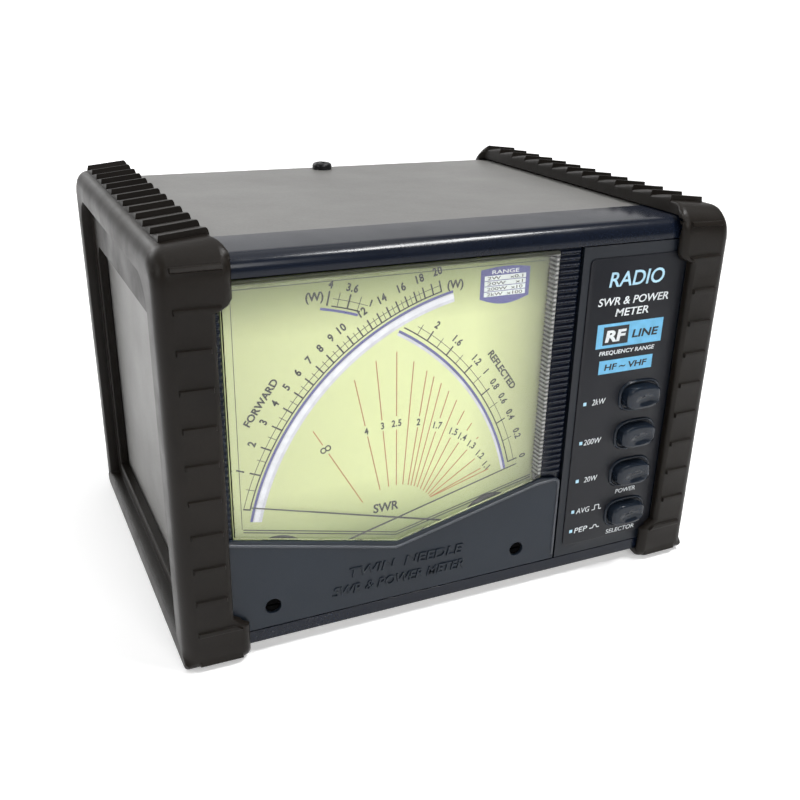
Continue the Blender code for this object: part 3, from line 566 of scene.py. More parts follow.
# ---- meter window -------------------------------------------------------------------------
LENS_LOW, LENS_HIGH = span("meter_lens")
LENS_SHOULDER, LENS_VEE_X = 38.5, -22.0


def window_outline(inset):
    """The window's outline as (x, z), inset from its edge: straight sides, shallow vee below."""
    left, right, top = LENS_LOW[0] + inset, LENS_HIGH[0] - inset, LENS_HIGH[2] - inset
    rise = inset * 1.03
    return np.array([(left, LENS_SHOULDER + rise), (LENS_VEE_X, LENS_LOW[2] + rise),
                     (right, LENS_SHOULDER + rise), (right, top), (left, top)])


def prism(outline, y_values, insets):
    """Rings of an outline given by inset at each y."""
    return [standing(outline(inset), y) for y, inset in zip(y_values, insets)]


window_pane = shell("window_pane", prism(window_outline, LENS_LOW[1] + np.array([0, 0.12, 1.5]),
                                         [0.12, 0, 0]), "clear_acrylic", ["meter_lens"])
window_pane.visible_shadow = False


def window_wall(name, outside, inside, low, high):
    """A frosted side wall behind the pane: a strip whose inner face is a fine saw along z, its
    tips at every second point."""
    z = np.arange(low, high, 0.65)
    notch = np.where(np.arange(len(z)) % 2 == 0, 0.0, 0.6) * np.sign(outside - inside)
    rows = []
    for x, y in ((outside, LENS_LOW[1] + 0.5), (inside + notch, LENS_LOW[1] + 0.5),
                 (inside + notch, LENS_HIGH[1]), (outside, LENS_HIGH[1])):
        rows.append(np.column_stack([np.broadcast_to(x, z.shape), np.full(len(z), y), z]))
    return shell(name, np.stack(rows, 1), "clear_acrylic", finish=FROST, angle=20)


window_wall("window_wall_right", LENS_HIGH[0] - 0.1, LENS_HIGH[0] - 1.35, 39.2, 107.9)


# ---- printing -----------------------------------------------------------------------------
class Print:
    """Ribbons and letters in one ink, gathered as thin slabs on a plane facing front."""

    def __init__(self, plane, proud):
        self.front, self.back = plane - proud, plane + 0.02
        self.points, self.faces, self.count = [], [], 0

    def add(self, points, faces):
        self.points.append(points)
        self.faces += [[i + self.count for i in face] for face in faces]
        self.count += len(points)

    def ribbon(self, left, right):
        """A slab between two lines of (x, z) points of equal length."""
        left, right = np.asarray(left, float), np.asarray(right, float)
        n = len(left)
        flat = np.concatenate([left, right])
        rows = [standing(flat, y) for y in (self.front, self.back)]
        i = np.arange(n - 1)
        faces = np.concatenate([
            np.stack([i, i + 1, n + i + 1, n + i], 1),
            np.stack([3 * n + i, 3 * n + i + 1, 2 * n + i + 1, 2 * n + i], 1),
            np.stack([2 * n + i, 2 * n + i + 1, i + 1, i], 1),
            np.stack([n + i, n + i + 1, 3 * n + i + 1, 3 * n + i], 1)]).tolist()
        faces += [[0, n, 3 * n, 2 * n], [n - 1, 3 * n - 1, 4 * n - 1, 2 * n - 1]]
        points = np.concatenate(rows)
        a, b = left[min(1, n - 1)] - left[0], right[0] - left[0]
        if a[0] * b[1] - a[1] * b[0] < 0:
            faces = [face[::-1] for face in faces]
        self.add(points, faces)

    def line(self, start, end, width):
        start, end = np.asarray(start, float), np.asarray(end, float)
        along = (end - start) / np.linalg.norm(end - start)
        across = np.array([-along[1], along[0]]) * width / 2
        self.ribbon([start + across, end + across], [start - across, end - across])

    def write(self, text, centre, cap, width=None, turn=0.0, lean=0.0, squeeze=0.8, weight=0.0,
              spacing=1.0):
        """Letters centred at (x, z): cap height and whole width in mm, turned and leaning."""
        curve = bpy.data.curves.new("letters", "FONT")
        curve.body = text
        curve.extrude = 0.5
        curve.offset = weight
        curve.resolution_u = 4
        curve.space_character = spacing
        temporary = bpy.data.objects.new("letters", curve)
        bpy.context.scene.collection.objects.link(temporary)
        bpy.context.view_layer.update()
        mesh = bpy.data.meshes.new_from_object(
            temporary.evaluated_get(bpy.context.evaluated_depsgraph_get()))
        co = np.zeros(len(mesh.vertices) * 3)
        mesh.vertices.foreach_get("co", co)
        co = co.reshape(-1, 3)
        faces = [list(p.vertices) for p in mesh.polygons]
        bpy.data.objects.remove(temporary)
        bpy.data.curves.remove(curve)
        bpy.data.meshes.remove(mesh)
        low, high = co.min(0), co.max(0)
        scale_z = cap / (0.73 + 2 * weight)
        scale_x = width / (high[0] - low[0]) if width else scale_z * squeeze
        u = (co[:, 0] - (low[0] + high[0]) / 2) * scale_x
        v = (co[:, 1] - 0.365) * scale_z
        u = u + v * math.tan(math.radians(lean))
        c, s = math.cos(math.radians(turn)), math.sin(math.radians(turn))
        y = np.where(co[:, 2] > 0, self.front, self.back)
        self.add(np.column_stack([centre[0] + u * c - v * s, y, centre[1] + u * s + v * c]), faces)

    def make(self, name, finish, slot):
        return solid(name, np.concatenate(self.points), self.faces, "root", finish,
                     angle=30, heal=True)


# ---- dial ---------------------------------------------------------------------------------
DIAL_LOW, DIAL_HIGH = span("dial_plate")
DIAL_FACE = DIAL_LOW[1]


def dial_outline(inset):
    """The dial plate's outline, carried down behind the window's vee."""
    left, right, top = DIAL_LOW[0] - 1.0 + inset, DIAL_HIGH[0] + 1.0 - inset, DIAL_HIGH[2] - inset
    return np.array([(left, 35.0), (-22.0, 23.6), (right, 35.0), (right, top), (left, top)])


shell("dial_face", prism(dial_outline, DIAL_FACE + np.array([0, 0.05, 0.6]), [0.05, 0, 0]),
      "dial_paint", ["dial_plate"])
FORWARD_HUB = np.array([10.7, 24.2])
REFLECTED_HUB = np.array([-57.6, 24.4])
black = Print(DIAL_FACE, 0.05)
violet = Print(DIAL_FACE, 0.04)
lilac = Print(DIAL_FACE, 0.03)
rust = Print(DIAL_FACE, 0.035)
silver = Print(DIAL_FACE, 0.037)


def forward_point(radius, angle):
    """A point on the forward scale: angle in degrees above the horizontal, towards the left."""
    a = np.radians(angle)
    return np.stack([FORWARD_HUB[0] - radius * np.cos(a), FORWARD_HUB[1] + radius * np.sin(a)], -1)


def reflected_point(radius, angle):
    a = np.radians(angle)
    return np.stack([REFLECTED_HUB[0] + radius * np.cos(a),
                     REFLECTED_HUB[1] + radius * np.sin(a)], -1)


def arc(sheet, point, radius, width, low, high):
    """A ribbon of constant width along a circle."""
    angle = np.linspace(low, high, max(8, int((high - low) * 2)))
    sheet.ribbon(point(radius - width / 2, angle), point(radius + width / 2, angle))


def forward_angle(watts):
    """Needle angle of a forward reading: it grows with the square root of the power."""
    return 15.0 + 16.29 * (np.sqrt(watts + 0.7) - math.sqrt(0.7))


def reflected_angle(watts):
    return 14.85 + 44.6 * (np.sqrt(watts + 0.5) - math.sqrt(0.5))


def print_forward_scale():
    arc(black, forward_point, 77.7, 0.36, 15, 75.6)
    arc(black, forward_point, 79.5, 0.16, 15, 75.6)
    arc(violet, forward_point, 76.6, 0.75, 12.3, 78)
    arc(lilac, forward_point, 74.9, 2.5, 12.3, 78)
    # the mirror band, its reflection painted as pale silver ink
    arc(silver, forward_point, 75.2, 1.3, 12.3, 78)
    for watts in range(0, 21):
        top = 80.9 if watts else 79.7
        angle = forward_angle(watts)
        black.line(forward_point(77.6, angle), forward_point(top, angle), 0.42)
        if watts < 18:
            angle = forward_angle(watts + 0.5)
            black.line(forward_point(77.6, angle), forward_point(80.4, angle), 0.17)
    for watts in (*range(1, 11), 12, 14, 16, 18, 20):
        angle = forward_angle(watts)
        black.write(str(watts), forward_point(83.7, angle), 2.45, turn=90 - angle, squeeze=0.85,
                    weight=0.035, spacing=1.12)
    black.write("FORWARD", (-60.2, 74.9), 2.25, 14.4, turn=54.5, weight=0.03)


def print_reflected_scale():
    arc(black, reflected_point, 76.25, 0.36, 14.85, 60.1)
    arc(black, reflected_point, 76.25, 0.36, 70.8, 77.0)
    arc(black, reflected_point, 78.25, 0.16, 14.85, 57.5)
    arc(black, reflected_point, 78.25, 0.16, 69.5, 77.0)
    arc(violet, reflected_point, 74.75, 0.75, 13.6, 60.8)
    arc(violet, reflected_point, 75.2, 0.7, 71.0, 79.2)
    arc(lilac, reflected_point, 73.95, 0.7, 13.6, 60.8)
    for step in range(0, 12):
        angle = reflected_angle(step * 0.2)
        bold = step % 2 == 0
        black.line(reflected_point(76.2, angle), reflected_point(79.4, angle),
                   0.42 if bold else 0.18)
    for watts, wide, low in ((4, 0.45, 76.2), (3.8, 0.18, 76.2), (3.6, 0.45, 76.2),
                             (3.4, 0.18, 76.2), (3.2, 0.4, 78.2)):
        angle = reflected_angle(watts)
        black.line(reflected_point(low, angle), reflected_point(80.1, angle), wide)
    for watts in (0, 0.2, 0.4, 0.6, 0.8, 1, 1.2, 1.6, 2, 3.6, 4):
        angle = reflected_angle(watts)
        black.write(f"{watts:g}", reflected_point(81.9 if watts > 3 else 81.5, angle), 2.3,
                    turn=angle - 90, squeeze=0.85, weight=0.035, spacing=1.15)
    black.write("REFLECTED", (12.0, 74.2), 2.25, 14.9, turn=-54.4, weight=0.03)


FAN_CENTRE = np.array([-21.85, 28.65])
FAN_CLEAR, FAN_REACH = 14.7, 69.6
SWR_LABELLED = (math.inf, 4, 3, 2.5, 2, 1.7, 1.5, 1.4, 1.3, 1.2, 1.1)
SWR_PLAIN = (2.2, 1.9, 1.8, 1.6, 1.05)
FAN_LINE = 0.29
FIGURE_REACH, INFINITY_REACH = 34.3, 36.2
INFINITY_TURN = 22.1


def crossing_line(swr):
    """Where the two needles cross as the power grows, at one standing-wave ratio s: reflected
    power is forward power times ((s - 1) / (s + 1)) squared, each needle stands at its own
    scale's angle, and two lines from the hubs meet. Ends of the run inside both arcs."""
    share = 1.0 if math.isinf(swr) else ((swr - 1) / (swr + 1)) ** 2
    watts = np.linspace(0.0, 30.0, 3001)
    rise = np.tan(np.radians(forward_angle(watts)))
    fall = np.tan(np.radians(reflected_angle(watts * share)))
    x = (FORWARD_HUB[0] - REFLECTED_HUB[0]) * rise / (rise + fall)
    points = np.stack([REFLECTED_HUB[0] + x, REFLECTED_HUB[1] + x * fall], 1)
    inside = ((np.linalg.norm(points - FORWARD_HUB, axis=1) < FAN_REACH)
              & (np.linalg.norm(points - REFLECTED_HUB, axis=1) < FAN_REACH)
              & (np.linalg.norm(points - FAN_CENTRE, axis=1) > FAN_CLEAR)
              & (points[:, 1] > FAN_CENTRE[1]) & (reflected_angle(watts * share) < 85))
    run = points[inside]
    return run[0], run[-1]


def infinity_sign(spot, turn):
    """Two rings side by side, turned in degrees."""
    angle = np.linspace(0, 2 * np.pi - 0.02, 25)
    loop = np.stack([np.cos(angle), np.sin(angle)], 1)
    way = np.array([math.cos(math.radians(turn)), math.sin(math.radians(turn))])
    for off in (-0.72, 0.72):
        black.ribbon(spot + off * way + loop * 0.55, spot + off * way + loop * 0.92)


def print_swr_fan():
    """Lines of equal standing-wave ratio, broken where their figures stand."""
    for swr in SWR_PLAIN:
        foot, top = crossing_line(swr)
        rust.line(foot, top, FAN_LINE)
    for swr in SWR_LABELLED:
        foot, top = crossing_line(swr)
        length = np.linalg.norm(top - foot)
        way = (top - foot) / length
        travel = np.linspace(0, length, 400)
        distance = np.linalg.norm(foot + travel[:, None] * way - FAN_CENTRE, axis=1)
        reach = INFINITY_REACH if math.isinf(swr) else FIGURE_REACH
        middle = travel[np.argmin(np.abs(distance - reach))]
        gap = 1.7 if swr == int(min(swr, 9)) or math.isinf(swr) else 2.1
        rust.line(foot, foot + way * (middle - gap), FAN_LINE)
        if length > middle + gap:
            rust.line(foot + way * (middle + gap), top, FAN_LINE)
        spot = foot + way * middle
        bearing = math.degrees(math.atan2(way[0], way[1]))
        if math.isinf(swr):
            infinity_sign(spot, INFINITY_TURN)
        else:
            black.write(f"{swr:g}", spot, 2.2, turn=-bearing * 0.75, squeeze=0.82,
                        weight=0.028, spacing=1.12)
    black.write("SWR", (-24.1, 37.0), 3.1, 8.0, weight=0.025)


def print_range_table():
    """The violet plate with its bulging edges and the pale table of range factors."""
    x = np.linspace(3.16, 18.85, 17)
    bulge = np.sin((x - x[0]) / (x[-1] - x[0]) * np.pi)
    violet.ribbon(np.stack([x, 104.1 + 0.7 * bulge], 1), np.stack([x, 95.9 - 1.8 * bulge], 1))
    rows = np.linspace(102.45, 96.35, 5)
    pale = Print(DIAL_FACE, 0.055)
    for high, low in zip(rows[:-1], rows[1:]):
        pale.ribbon([(4.4, high - 0.1), (17.6, high - 0.1)], [(4.4, low + 0.1), (17.6, low + 0.1)])
    pale.write("RANGE", (11.0, 103.35), 1.15, 8.6, weight=0.01)
    pale.make("dial_table", INK_WHITE, "dial_paint")
    small = Print(DIAL_FACE, 0.065)
    for text, high, low in zip(("2W    x0.1", "20W    x1", "200W  x10", "2kW  x100"),
                               rows[:-1], rows[1:]):
        small.write(text, (11.0, (high + low) / 2), 0.95, 11.4, weight=0.012)
    small.make("dial_table_text", INK_BLACK, "dial_paint")


print_forward_scale()
print_reflected_scale()
print_swr_fan()
print_range_table()
for x, z in ((-4.6, 101.2), (-45.0, 101.7)):
    black.write("(W)", (x, z), 2.5, 4.9, weight=0.03)
black.line((-66.8, 38.8), (-66.8, 105.3), 0.16)
black.line((-66.8, 105.3), (23.6, 105.3), 0.16)
for drop in (0.0, 0.8):
    black.line((-66.5, 38.55 - drop), (-20.8, 27.75 - drop), 0.3)
    black.line((-20.8, 27.75 - drop), (24.6, 38.1 - drop), 0.3)
for sheet, shade, material in ((black, "black", INK_BLACK), (violet, "violet", INK_VIOLET),
                               (lilac, "lilac", INK_LILAC), (silver, "silver", INK_MIRROR_REFLECTION),
                               (rust, "rust", INK_RUST)):
    sheet.make(f"dial_{shade}_print", material, "dial_paint")


def hub_cover(name, hub):
    """A thin dark disc with a rounded edge over the movement's hub, open where the spindle
    passes: rings of growing radius, front then back."""
    turn = np.linspace(0, 2 * np.pi, 65)[:-1]
    rows = [(1.2, -58.25), (10.1, -58.25), (10.4, -58.15), (10.4, -57.95), (1.2, -57.95)]
    circle = np.stack([np.cos(turn), np.sin(turn)], 1)
    rings = np.array([standing(hub + r * circle, y) for r, y in rows])
    return shell(name, rings, "black_plastic", closed=True)


hub_cover("forward_hub_cover", FORWARD_HUB)
hub_cover("reflected_hub_cover", REFLECTED_HUB)


def needle(name, node, hub, heading, body):
    """A thin tapered needle with a folded middle, from a round boss at the hub to its tip. Each
    ring is a flat six-sided section across the needle's length."""
    low, high = span(node)
    y = (low[1] + high[1]) / 2
    tip = np.array([low[0] if heading < 0 else high[0], high[2]])
    way = (tip - hub) / np.linalg.norm(tip - hub)
    across = np.array([-way[1], way[0]])
    length = np.linalg.norm(tip - hub)
    reach = np.array([-6.0, -5.6, -2.4, -1.5, 0.0, 1.5, 2.4, 6.0, length * 0.6, length - 0.4,
                      length])
    half = np.array([0.5, 0.62, 0.5, 1.3, 1.75, 1.3, 0.45, 0.32, 0.27, 0.2, 0.08])
    section = [(-1, 0.0), (-0.6, 0.12), (0.6, 0.12), (1, 0.0), (0.6, -0.12), (-0.6, -0.12)]
    rings = []
    for r, h in zip(reach, half):
        flat = hub + way * r + across * h * np.array([[a] for a, _ in section])
        rings.append(standing(flat, y + np.array([b for _, b in section])))
    return shell(name, rings, "pointer_black", [node], body)


needle("forward_needle", "forward_pointer", np.array([10.7, 24.3]), -1, "forward_movement")
needle("reflected_needle", "reflected_pointer", np.array([-57.6, 24.3]), 1, "reflected_movement")


# ---- control panel ------------------------------------------------------------------------
LABEL_FACE = -61.78


def rounded_box_outline(low, high, radius):
    """(x, z) points round a rectangle with round corners, anticlockwise."""
    out = []
    for cx, cz, start in ((high[0] - radius, high[1] - radius, 0),
                          (low[0] + radius, high[1] - radius, 90),
                          (low[0] + radius, low[1] + radius, 180),
                          (high[0] - radius, low[1] + radius, 270)):
        a = np.radians(np.linspace(start, start + 90, 6))
        out.append(np.stack([cx + radius * np.cos(a), cz + radius * np.sin(a)], 1))
    return np.concatenate(out)


def label_outline(inset):
    """The black label that carries the panel's words, inset from its edge."""
    return rounded_box_outline((37.2 + inset, 11.0 + inset), (71.0 - inset, 105.0 - inset), 1.6)


shell("panel_label", prism(label_outline, LABEL_FACE + np.array([0, 0.06, 0.48]), [0.15, 0, 0]),
      "navy_cover", finish=LABEL_BLACK)


def superellipse(centre, half_width, half_height, power=3.0):
    """(x, z) points of an oval whose corners fill out as power grows."""
    t = np.linspace(0, 2 * np.pi, 49)[:-1]
    c, s = np.cos(t), np.sin(t)
    return np.stack([centre[0] + half_width * np.sign(c) * np.abs(c) ** (2 / power),
                     centre[1] + half_height * np.sign(s) * np.abs(s) ** (2 / power)], 1)


BUTTONS = {"range_2kw": 60.6, "range_200w": 47.4, "range_20w": 34.1, "mode": 19.5}
BUTTON_X = 60.1


def collar(name, z):
    """The raised oval guard round a button: a rounded lip carried round an oval."""
    rows = [(7.75, 5.2, -61.6), (7.75, 5.2, -61.9), (7.45, 4.9, -62.35), (7.15, 4.6, -62.4),
            (6.85, 4.25, -62.2), (6.75, 4.15, -61.4), (7.75, 5.2, -61.4)]
    rings = np.array([standing(superellipse((BUTTON_X, z), a, b), y) for a, b, y in rows])
    return shell(name, rings, "button_plastic", closed=True)


def key_cap(name, z, body, node):
    """A push key: oval rings from the stem side to the face, the face domed and dished where the
    finger rests, low and to the right."""
    low, high = span(node)
    rows = [(1.0, high[1]), (1.0, low[1] + 1.3), (0.985, low[1] + 0.7), (0.93, low[1] + 0.28),
            (0.85, low[1] + 0.08), (0.72, low[1]), (0.55, low[1]), (0.38, low[1]),
            (0.2, low[1]), (0.06, low[1])]
    rings = []
    for share, y in rows:
        flat = superellipse((BUTTON_X, z), 6.4 * share, 3.8 * share)
        away = np.hypot((flat[:, 0] - BUTTON_X - 1.1) / 3.9, (flat[:, 1] - z + 0.9) / 1.75)
        dish = 0.75 * np.clip(1 - away ** 2, 0, 1) ** 0.6 if share < 0.9 else 0.0
        rings.append(standing(flat, y + dish))
    return shell(name, rings, "button_plastic", [node], body, angle=30)


for key, z in BUTTONS.items():
    collar(key + "_collar", z)
    key_cap(key + "_key_cap", z, key + "_key", key + "_button")

white = Print(LABEL_FACE, 0.05)
pale_blue = Print(LABEL_FACE, 0.045)
sky = Print(LABEL_FACE, 0.04)
pale_blue.write("RADIO", (54.2, 98.6), 4.7, 19.5, lean=8, weight=0.012)
white.write("SWR & POWER", (53.9, 92.0), 2.5, 25.6, lean=10, weight=0.012)
white.write("METER", (53.8, 88.4), 2.5, 12.2, lean=10, weight=0.012)
sky.ribbon([(41.7, 85.1), (65.8, 85.1)], [(41.7, 77.6), (65.8, 77.6)])
sky.ribbon([(43.7, 73.6), (63.5, 73.6)], [(43.7, 69.3), (63.5, 69.3)])
dark = Print(LABEL_FACE, 0.06)
dark.ribbon(*(np.array([(44.0, z), (53.2, z)]) for z in (84.2, 78.5)))
dark.write("LINE", (59.5, 81.2), 2.7, 9.4, lean=10, weight=0.03)
dark.write("HF ~ VHF", (53.6, 71.4), 2.1, 15.5, lean=8, weight=0.03)
bright = Print(LABEL_FACE, 0.075)
bright.write("RF", (48.6, 81.3), 3.9, 7.0, lean=8, weight=0.04)
white.write("FREQUENCY RANGE", (53.5, 76.0), 1.35, 20.2, lean=8, weight=0.015)
for text, x0, x1, z in (("2kW", 42.8, 47.5, 60.5), ("200W", 41.3, 47.6, 47.3),
                        ("20W", 43.0, 47.8, 34.1), ("AVG", 41.3, 46.2, 23.1),
                        ("PEP", 41.4, 46.2, 16.0)):
    white.write(text, ((x0 + x1) / 2, z), 1.95, x1 - x0, lean=8, weight=-0.004)
white.write("POWER", (59.9, 27.4), 1.6, 7.8, lean=8, weight=-0.004)
white.write("SELECTOR", (59.8, 12.8), 1.6, 11.4, lean=8, weight=-0.004)
for x, z in ((40.0, 60.3), (40.1, 47.2), (40.3, 34.0), (39.9, 23.1), (39.9, 16.0)):
    pale_blue.ribbon([(x - 0.55, z + 0.55), (x + 0.55, z + 0.55)],
                     [(x - 0.55, z - 0.55), (x + 0.55, z - 0.55)])
SQUARE_WAVE = [(47.2, -0.8), (48.3, -0.8), (48.3, 0.8), (49.9, 0.8), (49.9, -0.8), (50.9, -0.8)]
PEAK_WAVE = [(47.2, -0.5), (48.4, -0.5), (48.8, 0.5), (49.6, 0.5), (50.0, -0.5), (50.9, -0.5)]
for z, path in ((23.1, SQUARE_WAVE), (16.0, PEAK_WAVE)):
    for a, b in zip(path[:-1], path[1:]):
        white.line((a[0], a[1] + z), (b[0], b[1] + z), 0.28)
for sheet, shade, material in ((white, "white", INK_WHITE), (pale_blue, "pale", INK_PALE),
                               (sky, "blue", INK_SKY), (dark, "dark", INK_BLACK),
                               (bright, "bright", INK_WHITE)):
    sheet.make(f"panel_{shade}_print", material, "navy_cover")

COVER_FACE = span("meter_lower_cover")[0][1]


def cover_ridge():
    """A fine raised bead under the cover's upper edge: a half-round profile carried along the
    vee, turning down at its right end."""
    path = np.array([(-74.6, 37.1), (-24.0, 25.0), (-22.0, 24.6), (-20.0, 25.0), (25.0, 35.7),
                     (31.6, 36.3), (32.9, 35.9), (33.4, 34.6), (33.4, 9.0)])
    tangent = np.gradient(path, axis=0)
    tangent /= np.linalg.norm(tangent, axis=1)[:, None]
    across = np.column_stack([-tangent[:, 1], tangent[:, 0]])
    turn = np.linspace(0, np.pi, 7)
    rings = []
    for spot, side in zip(path, across):
        flat = spot + side * 0.42 * np.cos(turn)[:, None]
        rings.append(standing(flat, COVER_FACE + 0.05 - 0.5 * np.sin(turn)))
    # the bead's paler navy is a painted highlight
    return shell("cover_bead", rings, "navy_cover", finish=BEAD_HIGHLIGHT_NAVY, angle=60)


cover_ridge()
raised = Print(COVER_FACE, 0.4)
raised.write("TWIN  NEEDLE", (-18.4, 19.3), 3.2, 37.0, lean=14, weight=0.005)
raised.write("SWR & POWER METER", (-20.2, 13.8), 3.2, 43.0, lean=14, weight=0.005)
raised.make("embossed_words", FINISH["navy_cover"], "navy_cover")


# ---- screws -------------------------------------------------------------------------------
def turned_head(name, centre, axis, radius, height, node):
    """A screw head: rings of a low dome, with a cross cut pressed into the middle by lowering
    the points that lie within two narrow bars."""
    share = np.array([1.0, 1.0, 0.97, 0.88, 0.74, 0.6, 0.5, 0.42, 0.34, 0.26, 0.18, 0.1, 0.03])
    rise = np.array([-0.4, 0.45, 0.66, 0.84, 0.94, 0.98, 0.99, 1.0, 1.0, 1.0, 1.0, 1.0, 1.0])
    turn = np.linspace(0, 2 * np.pi, 49)[:-1]
    u = radius * share[:, None] * np.cos(turn)
    v = radius * share[:, None] * np.sin(turn)
    bar = radius * 0.13
    cut = (np.abs(u) < bar) | (np.abs(v) < bar)
    near = np.hypot(u, v) < radius * 0.56
    w = height * rise[:, None] - np.where(cut & near, height * 0.5, 0.0)
    place = (u, v, w) if axis == "Z" else (u, w, v)
    return shell(name, np.stack(place, -1) + np.array(centre), "black_screw", [node], angle=40)


REAR_PANEL_FACE = 47.5
turned_head("cover_screw_head", (0.0, 56.0, 114.4), "Z", 3.5, 2.2, "cover_screw")
for number in range(1, 5):
    low, high = span(f"rear_screw_{number}")
    turned_head(f"rear_screw_head_{number}",
                ((low[0] + high[0]) / 2, REAR_PANEL_FACE, (low[2] + high[2]) / 2), "Y", 3.0, 2.0,
                f"rear_screw_{number}")


# ---- coaxial sockets ----------------------------------------------------------------------
THREAD_PITCH = 1.06
BORE, THREAD_ROOT, THREAD_HEIGHT = 5.97, 7.3, 0.62


def threaded_socket(name, node, sides=48):
    """A socket turned in one piece with its square flange: rings of radius at each y, from the
    bore round the back, the flange and the thread to the mouth. The flange's rings are squares,
    reached by dividing half the side by the larger of cosine and sine. The thread is a true
    helix: a triangle wave of length less turn times pitch."""
    low, high = span(node)
    middle = (low + high) / 2
    half = (high[0] - low[0]) / 2
    turn = np.linspace(0, 2 * np.pi, sides + 1)[:-1]
    square = half / np.maximum(np.abs(np.cos(turn)), np.abs(np.sin(turn)))
    flat = np.ones(sides)
    back, front, mouth = REAR_PANEL_FACE, REAR_PANEL_FACE + 2.2, high[1]
    y = np.linspace(front + 0.4, mouth - 0.8, 100)
    phase = y[:, None] / THREAD_PITCH - turn / (2 * np.pi)
    wave = np.abs((phase % 1.0) - 0.5) * 2
    fade = np.clip((y - y[0]) / 0.8, 0, 1) * np.clip((y[-1] - y) / 0.8, 0, 1)
    rows = [(BORE * flat, low[1]), (7.45 * flat, low[1]), (7.45 * flat, back), (square, back),
            (square, front - 0.3), (square * 0.975, front),
            (THREAD_ROOT * flat, front)]
    rows += list(zip(THREAD_ROOT + THREAD_HEIGHT * wave * fade[:, None], y))
    rows += [(7.25 * flat, mouth - 0.35), (7.0 * flat, mouth), (6.25 * flat, mouth),
             (BORE * flat, mouth - 0.3)]
    circle = np.stack([np.cos(turn), np.sin(turn)], 1)
    rings = np.array([standing(middle[[0, 2]] + r[:, None] * circle, at) for r, at in rows])
    return shell(name, rings, "nickel_plate", [node], angle=60, closed=True)


for label in ("transmitter", "antenna"):
    threaded_socket(label + "_thread", label + "_socket")


# ---- floor, light and camera --------------------------------------------------------------
FLOOR_GLOW, FAR_GLOW = 0.34, 0.6
WORLD_LIGHT, WORLD_SEEN = 0.16, 0.9


def plain_floor():
    """A pale floor that curves up into a wall far behind: a line carried across x. It glows a
    little, and to the camera alone it glows more with distance, so that it stays pale."""
    turn = np.linspace(0, math.pi / 2, 13)
    y = np.concatenate([[-4.0], 2.0 + 1.2 * np.sin(turn), [3.2]])
    z = np.concatenate([[0.0], 1.2 - 1.2 * np.cos(turn), [4.0]]) - 0.0002
    rows = np.array([np.column_stack([np.full(len(y), x), y, z]) for x in (-5.0, 5.0)])
    mesh = bpy.data.meshes.new("floor")
    mesh.from_pydata(rows.reshape(-1, 3).tolist(), [], grid_faces(2, len(y)))
    mesh.shade_smooth()
    material, tree, shader = new_material("floor_white", (0.85, 0.85, 0.85), 0.8)
    shader.inputs["Emission Color"].default_value = (1, 1, 1, 1)
    place = tree.nodes.new("ShaderNodeTexCoord")
    far = tree.nodes.new("ShaderNodeVectorMath")
    far.operation = "LENGTH"
    tree.links.new(place.outputs["Object"], far.inputs[0])
    growth = shader_node(tree, "MapRange", From_Min=0.5, From_Max=2.2, To_Max=FAR_GLOW)
    tree.links.new(far.outputs["Value"], growth.inputs["Value"])
    sight = tree.nodes.new("ShaderNodeLightPath")
    seen = tree.nodes.new("ShaderNodeMath")
    seen.operation = "MULTIPLY_ADD"
    tree.links.new(growth.outputs["Result"], seen.inputs[0])
    tree.links.new(sight.outputs["Is Camera Ray"], seen.inputs[1])
    seen.inputs[2].default_value = FLOOR_GLOW
    tree.links.new(seen.outputs["Value"], shader.inputs["Emission Strength"])
    mesh.materials.append(material)
    floor = bpy.data.objects.new("floor", mesh)
    bpy.context.scene.collection.objects.link(floor)


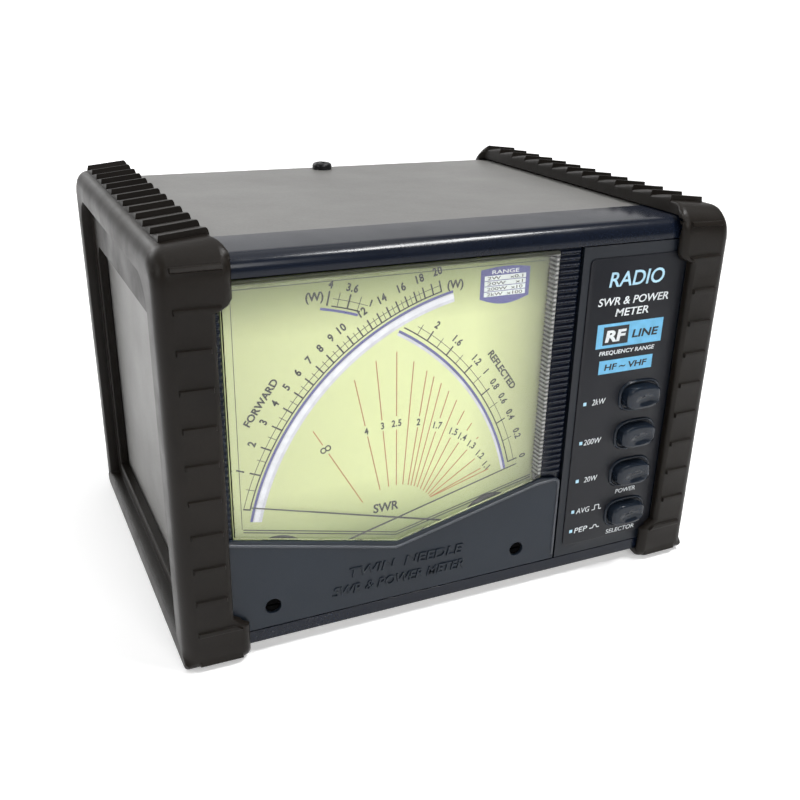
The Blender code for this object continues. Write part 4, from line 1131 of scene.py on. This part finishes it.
def soft_light(name, place, aim, size, power):
    """An area light at place, turned to face aim."""
    data = bpy.data.lights.new(name, "AREA")
    data.shape = "RECTANGLE"
    data.size, data.size_y = size
    data.energy = power
    lamp = bpy.data.objects.new(name, data)
    lamp.location = place
    lamp.rotation_euler = (Vector(aim) - Vector(place)).to_track_quat("-Z", "Y").to_euler()
    bpy.context.scene.collection.objects.link(lamp)


plain_floor()
world = bpy.data.worlds.new("studio")
bpy.context.scene.world = world
world.use_nodes = True
tree = world.node_tree
dim, seen = tree.nodes["Background"], tree.nodes.new("ShaderNodeBackground")
dim.inputs["Strength"].default_value = WORLD_LIGHT
seen.inputs["Strength"].default_value = WORLD_SEEN
for backdrop in (dim, seen):
    backdrop.inputs["Color"].default_value = (1, 1, 1, 1)
path, choose = tree.nodes.new("ShaderNodeLightPath"), tree.nodes.new("ShaderNodeMixShader")
tree.links.new(path.outputs["Is Camera Ray"], choose.inputs["Fac"])
tree.links.new(dim.outputs["Background"], choose.inputs[1])
tree.links.new(seen.outputs["Background"], choose.inputs[2])
tree.links.new(choose.outputs["Shader"], tree.nodes["World Output"].inputs["Surface"])
soft_light("top_light", (0.36, -0.22, 0.85), (0, 0, 0.08), (0.35, 0.10), 6.0)
soft_light("back_light", (-0.6, 1.0, 0.8), (0, 0, 0.1), (1.0, 0.5), 8.0)
soft_light("left_light", (-1.1, -0.3, 0.7), (0, 0, 0.05), (0.6, 0.6), 3.0)
soft_light("front_light", (0.1, -1.3, 0.9), (0, 0, 0.06), (0.5, 0.5), 6.0)
soft_light("floor_light", (0.0, 0.6, 2.6), (0, 0.3, 0.0), (2.5, 2.5), 20.0)
bpy.context.scene.view_settings.view_transform = "Standard"

CAMERA_LENS, CAMERA_SHIFT = 42.84, (-0.00937, 0.04204)
CAMERA_PLACE = (-0.124628, -0.279414, 0.169590)
CAMERA_TURN = (65.742, -1.375, -25.174)
camera_data = bpy.data.cameras.new("camera")
camera_data.lens = CAMERA_LENS
camera_data.shift_x, camera_data.shift_y = CAMERA_SHIFT
camera = bpy.data.objects.new("camera", camera_data)
camera.location = CAMERA_PLACE
camera.rotation_euler = Euler([math.radians(a) for a in CAMERA_TURN], "XYZ")
bpy.context.scene.collection.objects.link(camera)
bpy.context.scene.camera = camera
